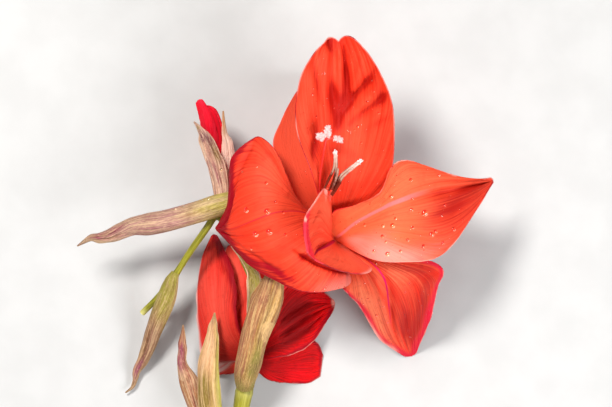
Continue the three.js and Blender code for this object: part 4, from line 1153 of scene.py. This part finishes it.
# A fold here has the u of its two ends, its v, its half width and its height.
BRACTS = {
    "open_outer_bract": dict(
        kind="brown",
        line=[(-15, -20.2, 22.7), (-14.6, -15.5, 27.2), (-13.1, -8.5, 32.6), (-10.9, 0.8, 36),
            (-8, 10.3, 38), (-6, 17.5, 38.3), (-4, 23.5, 38.2), (-2.5, 27.5, 37.2)],
        outward=[UP, UP, (-0.1, 0, 1), (-0.1, 0, 1)], width=[11.2, 14.4, 15.4, 16, 17, 15.6, 10, 2],
        roll=[97, 95, 93, 90, 86, 72, 52, 30],
        folds=[(0.35, 0.9, 0.34, 0.09, -0.7), (0.35, 0.9, -0.12, 0.1, -0.4), (0.5, 0.95, 0.55, 0.08, 0.5)],
        green=(0.1, 0.16, 0), leafy=[(0.26, 0.35, 0.12, 0.35, 1), (0.5, 0.25, 0.3, 0.16, 0.6)],
        mauve=[(0.4, -0.55, 0.45, 0.4, 1)],
        brown=[(0.45, 0.42, 0.06, 0.09, 0.6), (0.56, 0.27, 0.07, 0.09, 0.7), (0.68, 0.1, 0.08, 0.09, 0.7),
            (0.82, -0.1, 0.1, 0.1, 0.7), (0.3, 0.6, 0.1, 0.08, 0.7)],
        pale=[(0.6, 0.45, 0.2, 0.1, 0.6), (0.88, 0.5, 0.16, 0.3, 0.4)], cream=0.9,
    ),
    "open_inner_bract": dict(
        kind="green",
        line=[(-13.1, -14, 23.3), (-12, -7, 25.3), (-11, 1, 27.3), (-10.8, 9, 29), (-10.8, 17, 30.3),
            (-11.4, 23.3, 31.3), (-14.5, 28.2, 32.2), (-19.5, 34.3, 33)],
        outward=[DOWN, DOWN], width=[3, 4.5, 5.5, 6.5, 6.2, 5.6, 1.9, 0.4],
        roll=[20, 35, 45, 40, 40, 40, 45, 60], green=(2, 1, 1),
        pale=[(0.75, -0.9, 0.4, 0.3, 0.8), (0.75, 0.9, 0.4, 0.3, 0.8)], cream=0.6,
    ),
    "second_outer_bract": dict(
        kind="tan",
        line=[(-16.4, -26, 8.6), (-14.6, -19, 7.3), (-13.4, -12, 4), (-13, -4, 1.6), (-12, 3, 0.4)],
        outward=[DOWN, DOWN], width=[7.6, 7.8, 7, 6, 1.5], roll=[95, 75, 50, 25, 10], green=(0.4, 0.3, 0.5),
        tip=0.85, cream=0.8,
    ),
    "second_inner_bract": dict(
        kind="green", line=[(-14.2, -19, 14.3), (-12.3, -13, 16.3), (-11.2, -6, 18.2), (-11, 0, 19.6)],
        outward=[UP, UP], width=[3.5, 5, 4.5, 1.5], roll=[50, 50, 40, 30], green=(2, 1, 1), cream=0.4,
    ),
    "left_bract": dict(
        kind="long",
        line=[(-18.5, 51.2, 37.3), (-24.6, 49.2, 37.4), (-30.5, 47.3, 37), (-37, 45.4, 36.4),
            (-44, 43.5, 35.5), (-50.5, 42.3, 34.3), (-56, 41.5, 33), (-60.3, 39.8, 31.5),
            (-64.4, 38.1, 29.7), (-68.6, 37.2, 28.4), (-72.4, 36.9, 27.4), (-77, 34.2, 26)],
        outward=[UP, UP], width=[18, 22, 21.5, 21, 21, 20.5, 15.5, 12, 9, 5.2, 3, 0.5],
        roll=[160, 162, 162, 160, 158, 150, 138, 125, 118, 110, 95, 60],
        folds=[(0.55, 0.92, -0.25, 0.1, -0.8), (0.6, 0.95, 0.2, 0.08, -0.7), (0.62, 0.9, -0.02, 0.08, 0.6),
            (0.2, 0.6, 0.3, 0.07, -0.3), (0.3, 0.7, -0.4, 0.07, -0.35)],
        green=(0.22, 0.26, 0), mauve=[(0.42, 0.1, 0.22, 0.7, 1), (0.55, -0.1, 0.14, 0.6, 0.8)],
        brown=[(0.4, -0.5, 0.2, 0.08, 0.5), (0.5, 0.35, 0.25, 0.06, 0.5)],
        pale=[(0.12, 0.15, 0.14, 0.12, 0.9), (0.2, -0.2, 0.12, 0.1, 0.6), (0.6, 0.5, 0.1, 0.12, 0.7),
            (0.78, -0.6, 0.16, 0.3, 0.9), (0.72, 0.75, 0.14, 0.16, 0.9), (0.94, 0.2, 0.05, 0.8, 0.7)],
        dried=[(0.64, 0.3, 0.05, 0.16, 1), (0.72, 0.2, 0.06, 0.2, 1), (0.82, 0.1, 0.06, 0.35, 1)], cream=0.8,
    ),
    "bud_outer_bract": dict(
        kind="pale",
        line=[(-24, 50, 29.6), (-24.5, 56.5, 30.2), (-25.7, 63, 31), (-27.4, 67.5, 31.6), (-29.5, 73, 31.8),
            (-31.5, 77.5, 31.4), (-33.4, 80.2, 30.6)],
        outward=[(-0.4, 0, 1), (-0.5, 0, 1)], width=[5.6, 7.8, 8.4, 8, 6.4, 2.6, 0.5],
        roll=[70, 65, 60, 60, 60, 55, 60],
        folds=[(0.2, 0.8, 0.3, 0.14, -0.5), (0.3, 0.9, -0.1, 0.12, 0.4), (0.1, 0.6, -0.5, 0.12, -0.4)],
        green=(-1, 0.1, 0), leafy=[(0.5, 0.6, 0.14, 0.3, 1), (0.86, -0.1, 0.04, 0.6, 0.9)],
        mauve=[(0.58, 0.2, 0.12, 0.2, 1), (0.3, 0.3, 0.15, 0.3, 0.6)],
        brown=[(0.55, 0.42, 0.12, 0.1, 0.7), (0.2, 0.3, 0.2, 0.1, 0.5), (0.45, -0.6, 0.1, 0.12, 0.5)],
        pale=[(0.3, -0.2, 0.35, 0.25, 0.6), (0.64, 0.22, 0.03, 0.14, 1), (0.65, -0.5, 0.2, 0.2, 0.7)],
        dried=[(0.75, 0, 0.07, 0.6, 1), (0.7, -0.2, 0.05, 0.3, 1), (0.66, 0.5, 0.09, 0.24, 0.9)], tip=0.92,
        cream=0.8,
    ),
    "bud_inner_bract": dict(
        kind="blush",
        line=[(-22.2, 50, 25), (-21, 57, 25.5), (-20.8, 62.5, 26.2), (-20.8, 66.5, 26.8),
            (-21.3, 71.5, 27.2), (-22.2, 76.5, 27.4), (-22.7, 84.3, 27.6)],
        outward=[(0.3, 0, 1), (0.3, 0, 1)], width=[4, 5.5, 6.5, 6.5, 5, 2.4, 0.6],
        roll=[35, 35, 35, 35, 35, 50, 60], folds=[(0.2, 0.9, 0.1, 0.14, -0.4)], green=(-1, 0.2, 0), tip=0.72,
        cream=0.8,
    ),
    "tip_bract": dict(
        kind="slate",
        line=[(-40.9, 24.2, 23.6), (-42.5, 21, 23.2), (-44.3, 16.2, 21.7), (-46.3, 11.3, 19.4),
            (-48.4, 6.3, 16.7), (-50.3, 1.3, 13.7), (-52.1, -3.9, 10.5), (-54.3, -8.9, 7.5),
            (-56.4, -13.3, 5), (-57.4, -17.2, 3.6), (-58.6, -20.3, 2.7), (-61.2, -22.5, 2.3)],
        outward=[(-0.1, 0.1, 1), (-0.1, 0.2, 1)],
        width=[4.2, 7.2, 9.4, 9.9, 9.6, 8.7, 8, 6.5, 5, 3.4, 1.8, 0.5],
        roll=[88, 85, 82, 80, 80, 80, 80, 80, 85, 95, 90, 60],
        folds=[(0.35, 0.8, 0.15, 0.12, -0.7), (0.5, 0.95, -0.3, 0.12, -0.6), (0.6, 1, 0.45, 0.12, 0.5)],
        green=(0.34, 0.3, 0), mauve=[(0.45, -0.2, 0.16, 0.6, 0.9)],
        brown=[(0.5, 0.3, 0.14, 0.12, 0.6), (0.42, 0.1, 0.1, 0.08, 0.4)],
        pale=[(0.2, -0.7, 0.25, 0.2, 0.6), (0.62, 0.6, 0.1, 0.3, 0.5), (0.92, 0, 0.05, 0.9, 0.9)],
        dried=[(0.69, 0, 0.05, 0.35, 1), (0.77, 0.1, 0.06, 0.4, 1)], cream=0.6,
    ),
    "lower_outer_bract": dict(
        kind="rust",
        line=[(-24.1, -60, 10.6), (-26.3, -50, 14), (-29.7, -38.5, 17.3), (-34, -25, 20), (-36.4, -17, 21),
            (-38.6, -9.5, 21.3), (-38.2, -3, 21), (-38, 4.6, 20.5)],
        outward=[(-0.94, 0, 0.34), (-0.3, 0, 1), UP], width=[6, 7, 8, 9.4, 9.4, 4.8, 3.8, 0.5],
        roll=[45, 55, 60, 60, 60, 75, 75, 60],
        folds=[(0.3, 0.75, 0.1, 0.1, -0.7), (0.55, 0.95, -0.3, 0.14, -0.4), (0.6, 0.95, 0.3, 0.12, 0.4)],
        green=(0.2, 0.3, 0), brown=[(0.6, -0.25, 0.14, 0.2, 0.7), (0.84, 0.1, 0.08, 0.3, 0.6)],
        pale=[(0.5, 0.9, 0.24, 0.35, 0.9)], dried=[(0.8, -0.1, 0.09, 0.5, 1.3), (0.7, -0.2, 0.07, 0.35, 1)],
        shift=3, cream=0.5,
    ),
    "lower_inner_bract": dict(
        kind="peach",
        line=[(-18.8, -60, 13.8), (-21.2, -52, 18.7), (-25, -41, 21), (-27.5, -27, 23.7),
            (-28.3, -18, 24.5), (-28.2, -10, 25), (-26.9, -2, 25), (-26.5, 4, 24.8), (-26, 9.4, 24.4)],
        outward=[(0.34, 0, 0.94), UP, UP], width=[5.8, 8, 9.5, 10.2, 9.8, 9, 6, 3.6, 0.5],
        roll=[38, 48, 60, 60, 60, 55, 55, 65, 60],
        folds=[(0.3, 0.8, -0.1, 0.1, -0.6), (0.4, 0.9, 0.45, 0.1, 0.5), (0.75, 0.98, -0.2, 0.15, -0.6)],
        green=(0.3, 0.3, 0), leafy=[(0.45, 0.9, 0.4, 0.4, 1.2)],
        brown=[(0.84, 0.3, 0.05, 0.2, 0.5), (0.92, -0.2, 0.04, 0.5, 0.5)],
        pale=[(0.72, -0.1, 0.14, 0.4, 0.7)],
        dried=[(0.47, -0.35, 0.1, 0.55, 1.6), (0.38, -0.6, 0.1, 0.3, 1.2)], tip=0.9, cream=0.7,
    ),
}
BRACT_RIBS = 2.1  # ridges and grooves a millimetre across a bract
PINCH = 0.3  # depth of the folds in a shrivelled tip, as a share of its radius


def bract(
    name, seed, *, kind, line, outward, width, roll, green, cream, folds=(), tip=1.2, shift=0, leafy=(),
    mauve=(), brown=(), pale=(), dried=(),
):
    """A leaf rolled about its keel, with fine ribs, lengthwise folds, a wavy margin and a shrivelled tip.
    roll is half the angle that it spans, in degrees. green says how far up it is green, how softly that
    ends and how green its middle is, and cream is the width of its pale margin."""
    rows, columns = BRACT_CELLS
    u = np.linspace(0, 1, rows + 1)[:, None]
    v = np.linspace(-1, 1, columns + 1)[None, :]
    keel = spline(line)
    ahead = heading(keel, rows)
    out = spline(outward)(u[:, 0])
    out = unit(out - (out * ahead).sum(-1, keepdims=True) * ahead)
    side = np.cross(ahead, out)
    reach = max(width) / 2 * v
    width = np.maximum(smooth(width)(u), 0.3)
    half = np.radians(smooth(roll)(u))
    radius = width / 2 / half
    angle = half * v
    edge = np.abs(v)
    full = ramp(width, 0.8, 5)
    ribs = 0.05 * np.sin(BRACT_RIBS * math.pi * reach + seed) * full
    wavy = 0.3 * edge**5 * wobble(v, u * 16, seed) * ramp(u, 0.1, 0.3) * full
    shrivel = 0.4 * ramp(u, 0.55, 0.9) * wobble(v * 2.5, u * 30, seed + 2) * full
    pinch = PINCH * radius * ramp(u, 0.55, 0.85) * np.cos(2.5 * angle + 6 * u + seed) * ramp(width, 1.2, 4)
    height = ribs + wavy + shrivel + pinch
    for start, end, at, reach_v, rise in folds:
        drift = at + 0.1 * wobble(u * 6, at * 9, seed)
        there = ramp(u, start, start + 0.12) * ramp(u, end + 0.06, end - 0.1)
        height = height + rise * there * full * np.exp(-(((v - drift) / reach_v) ** 2))
    spread = radius + height
    grid = keel(u[:, 0])[:, None] + out[:, None] * (spread * np.cos(angle) - radius)[..., None]
    grid = grid + side[:, None] * (spread * np.sin(angle))[..., None]
    ones = np.ones(spread.shape)
    green_until, green_fade, centre = green
    patchy = u + 0.06 * wobble(v * 4, u * 3, seed)
    grown = ramp(patchy, green_until + green_fade / 2, green_until - green_fade / 2)
    stripe = centre * ramp(np.abs(v + 0.12 * wobble(u * 4, 0, seed)), 0.5, 0.05) * ramp(u, 0.95, 0.6)
    rim = ramp((1 - edge) * width / 2, cream * (0.7 + 0.6 * wobble(v, u * 13, seed)), 0.05)
    bent = v + 0.05 * wobble(u * 9, v * 2, seed + 4)
    withered = ramp(u + 0.04 * wobble(v * 5, u, seed), tip, tip + 0.2)
    attributes = {
        "along": u * ones,
        "vein": reach + 0.5 * wobble(u * 7, v, seed) + 40 * seed + shift,
        "green": np.clip(grown + stripe + spots(u, bent, leafy), 0, 1) * ones,
        "mauve": spots(u, bent, mauve),
        # brown patches, partly painted shade in folds and grooves
        "brown": spots(u, bent, brown),
        # pale margin, and pale spots that are partly painted highlights
        "cream": np.clip(rim + spots(u, bent, pale), 0, 1),
        "tip": np.clip(withered + spots(u, bent, dried), 0, 1) * ones,
    }
    thickness = BRACT * (1 - 0.5 * edge**4) * (0.55 + 0.45 * full) * ones
    piece = leaf(name + "_skin", grid, thickness, attributes)
    skin = bract_material(kind)
    return dress(piece, name, "bract_green" if kind in ("green", "peach") else "bract_tan", skin, skin)


BUD_LINE = [(-23.2, 49.2, 27), (-23.6, 55.7, 26), (-24.2, 62.2, 25.6), (-25.1, 68.7, 25.6), (-26.1, 75.1, 25.9),
    (-27.5, 81, 26.4), (-29.3, 86.3, 27.2)]
BUD_RADII = [1.2, 1.7, 2.1, 2.6, 3.7, 3.9, 3.0]
BUD_OVERLAP = 0.12
BUD_TWIST = 1.2
BUD_ROUND = 0.1  # share of the bud's length over which its end rounds off
BUD_FRONT = dict(
    left=[(-28.4, 69.8, 25), (-30.2, 75.4, 26.2), (-31.1, 79.5, 26.5), (-32, 83.6, 27), (-32.7, 86.9, 27.6),
        (-32.1, 88.2, 28)],
    rib=[(-27.2, 69.8, 27.8), (-27.6, 74.7, 29.8), (-28.5, 78.7, 30.9), (-29.5, 83.2, 31),
        (-30.6, 86.7, 30), (-31.1, 88.5, 28.8)],
    right=[(-24.6, 69.8, 27.4), (-24.6, 74.7, 29.2), (-25.6, 79.1, 30.2), (-27.2, 83.6, 30.4),
        (-28.9, 86.5, 29.6), (-30.2, 88.3, 28.6)],
    crinkle=0.5,
    folds=[([(0.2, 0.4), (0.6, 0.3), (0.9, 0.1)], 0.8, -0.4), ([(0.3, -0.4), (0.8, -0.4)], 0.8, -0.3)],
    # painted highlight on its rounded end
    light=[(0.97, 0, 0.14, 1.2, 1)], band_left=(0, 0), band_right=(0, 0), ribbed=0, lines=0.3, brim_highlight=0,
    throat=0.3,
)


def make_bud():
    """The bud: a furled core, and a front tepal that wraps it and ends in a rounded lobe beside it."""
    width = smooth(BUD_RADII)

    def turn(t, angle):
        share = 3 * (angle + BUD_TWIST * t) / (2 * math.pi)
        return share - np.floor(share)

    def furled(t, angle):
        past = np.maximum(0.0, (t - 1 + BUD_ROUND) / BUD_ROUND)
        rounded = np.sqrt(np.maximum(0.02, 1 - past**2))
        return width(t) * rounded * (1 - BUD_OVERLAP * turn(t, angle))

    bundle = Bundle()
    bundle.rod(
        BUD_LINE,
        furled,
        BUD_CELLS,
        bumps=lambda t, angle: 0.07 * wobble(angle * 9, t * 6) * ramp(t, 0.2, 0.5),
        vein=lambda t, angle: angle / math.pi,
        lines=0.35,
        **{
            **UNSTAINED,
            "crimson": lambda t, angle: 0.25 * ramp(turn(t, angle), 0.8, 1.0),
            # painted shade under the edge of each furled tepal, and darker towards the foot
            "deep": lambda t, angle: 0.2 * ramp(turn(t, angle), 0.8, 1.0) + 0.3 * ramp(t, 0.6, 0.2),
        },
    )
    skin = petal_material("bud")
    dress(bundle.finish("bud_tepals"), "bud", "petal_deep", skin)
    tepal("bud_front_tepal", FRONT_CELLS, 13, (skin, skin), "bud", "petal_deep", **BUD_FRONT)


# ---- water drops ----

# Where the larger drops show in a 612 by 407 pixel view from the camera, and their radius, in pixels.
DROP_PIXELS = [(257, 166.5, 1.1), (266.3, 183, 1.6), (242, 171.5, 1), (276, 202.2, 1.6),
    (267.2, 211.6, 2.9), (246.2, 210.2, 2.6), (283.4, 212.3, 1.3), (255.3, 234, 2.9), (269.3, 231.9, 3.1),
    (285.5, 234.7, 1.6), (251, 248.7, 1.4), (324.8, 288.7, 1.2), (222.4, 241.7, 1.6), (424.9, 213, 3.1),
    (391.2, 196.6, 1.8), (392.6, 225.6, 2.2), (382.8, 225.6, 1.8), (382.1, 236.8, 1.8), (364.6, 224.9, 1.6),
    (413, 227.7, 1.5), (411.6, 210.2, 1.8), (408.1, 240, 1.7), (431.9, 234.3, 2.4), (435.6, 231.4, 1.8),
    (373.7, 251.6, 1.8), (387.3, 254.4, 2.2), (400.5, 251.3, 1.4), (423.5, 246.7, 2), (443.2, 243.2, 2),
    (453.7, 229.1, 2), (444.6, 205.3, 1.5), (441.8, 215.8, 1.3), (412.3, 198.9, 1.3), (410.9, 180, 1.8),
    (439, 175, 1.4), (395.4, 218.6, 1.4), (385.9, 241.8, 1.3), (376.5, 315.4, 1.6), (387.7, 322.5, 1.2),
    (409.5, 283.2, 1.1), (405.3, 292.3, 1.1), (368, 298.6, 1.1), (410.2, 336.5, 1.3), (375.8, 263.5, 1.4),
    (367.2, 102, 1.2), (373.7, 91.3, 1), (371.9, 80.1, 1), (357.8, 126.7, 1.2), (378.4, 113.2, 1),
    (324.7, 73.6, 1), (312.9, 94.3, 1.3), (313.5, 88.4, 1), (316.5, 116.7, 1.3), (342.4, 104.3, 1),
    (323.5, 105.5, 0.9), (361.3, 142.7, 0.9), (348, 131, 0.9), (208.4, 198.4, 1.6), (201.5, 200.4, 1.1),
    (183, 206.4, 1.4), (175, 209.2, 1.6), (221.9, 169.8, 1.7)]
DROP_SWELL = 1.25
MIST_DROPS = 320  # small drops strewn over MIST_AREA, less those that nothing there can hold
MIST_RADIUS = (0.14, 0.34)
MIST_AREA = ((295, 470), (50, 345))  # in pixels
DROP_HEIGHT = 0.72  # of a drop's radius
DROP_SINK = 0.3  # depth of a drop's middle under the surface, as a share of its radius
LAMP_SIDE = (-0.62, 0.7, 0.35)
STEEPEST = 0.15  # upward part of the normal of the steepest surface that holds a drop


def dome(centre, normal, radius):
    """Points of a drop, a flattened ball that is sunk a little into what carries it, and how far each
    lies towards the lamp. Rings from its foot to its top are followed by the two poles."""
    rings, sides = DROP_CELLS
    up = unit(normal)
    side = unit(np.cross(up, (0.3, 0.9, 0.2)))
    polar = np.linspace(math.pi, 0, rings + 1)[1:-1, None, None]
    angle = np.linspace(0, 2 * math.pi, sides, endpoint=False)[:, None]
    out = side * np.cos(angle) + np.cross(up, side) * np.sin(angle)
    ring = out * np.sin(polar) + up * (DROP_HEIGHT * np.cos(polar) - DROP_SINK)
    poles = up * np.array([[-DROP_HEIGHT - DROP_SINK], [DROP_HEIGHT - DROP_SINK]])
    points = np.concatenate([ring.reshape(-1, 3), poles])
    lamp = unit(LAMP_SIDE - up * (up @ LAMP_SIDE))
    return centre + points * radius, points @ lamp


def make_drops(carriers):
    bpy.context.view_layer.update()
    eye = Vector(CAMERA_AT) * MM
    depth = (CAMERA_AT[2] - FOCUS_HEIGHT) * MM
    pixel = PIXEL * MM

    def below(x, y):
        """The place, the normal and the name of what the camera sees at a pixel, or None three times."""
        ray = Vector(((x - MIDDLE_PIXEL[0]) * pixel, (MIDDLE_PIXEL[1] - y) * pixel, -depth)).normalized()
        hits = [(*obj.ray_cast(eye, ray)[:3], obj.name) for obj in carriers]
        hits = [hit[1:] for hit in hits if hit[0]]
        return max(hits, key=lambda hit: hit[0].z, default=(None, None, None))

    wanted = [(x, y, radius * PIXEL * DROP_SWELL) for x, y, radius in DROP_PIXELS]
    draw = np.random.default_rng(7)
    for _ in range(MIST_DROPS):
        x = draw.uniform(*MIST_AREA[0])
        y = draw.uniform(*MIST_AREA[1])
        wanted.append((x, y, draw.uniform(*MIST_RADIUS)))
    points, faces, lit, on_bract = [], [], [], []
    for x, y, radius in wanted:
        place, normal, carrier = below(x, y)
        if place is None or normal.z < STEEPEST:
            continue
        made, towards = dome(np.array(place) / MM, np.array(normal), radius)
        faces += rod_faces(DROP_CELLS[0] - 1, DROP_CELLS[1], len(points))
        points += made.tolist()
        lit += towards.tolist()
        on_bract += [float("bract" in carrier)] * len(made)
    drops = solid("water_drops", points, faces, {"lit": lit, "on_bract": on_bract})
    drops.data.materials.append(water_material())
    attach(drops, BODY)


# ---- the whole spike ----

make_camera()
make_studio()
petals = make_blooms()
make_stamens()
make_stem()
wrappers = {name: bract(name, seed, **shape) for seed, (name, shape) in enumerate(BRACTS.items(), 1)}
make_bud()
wet = [piece for name, piece in petals.items() if name.startswith("open_")]
make_drops([*wet, petals["second_tepal_upper_left"], wrappers["left_bract"], wrappers["bud_outer_bract"]])
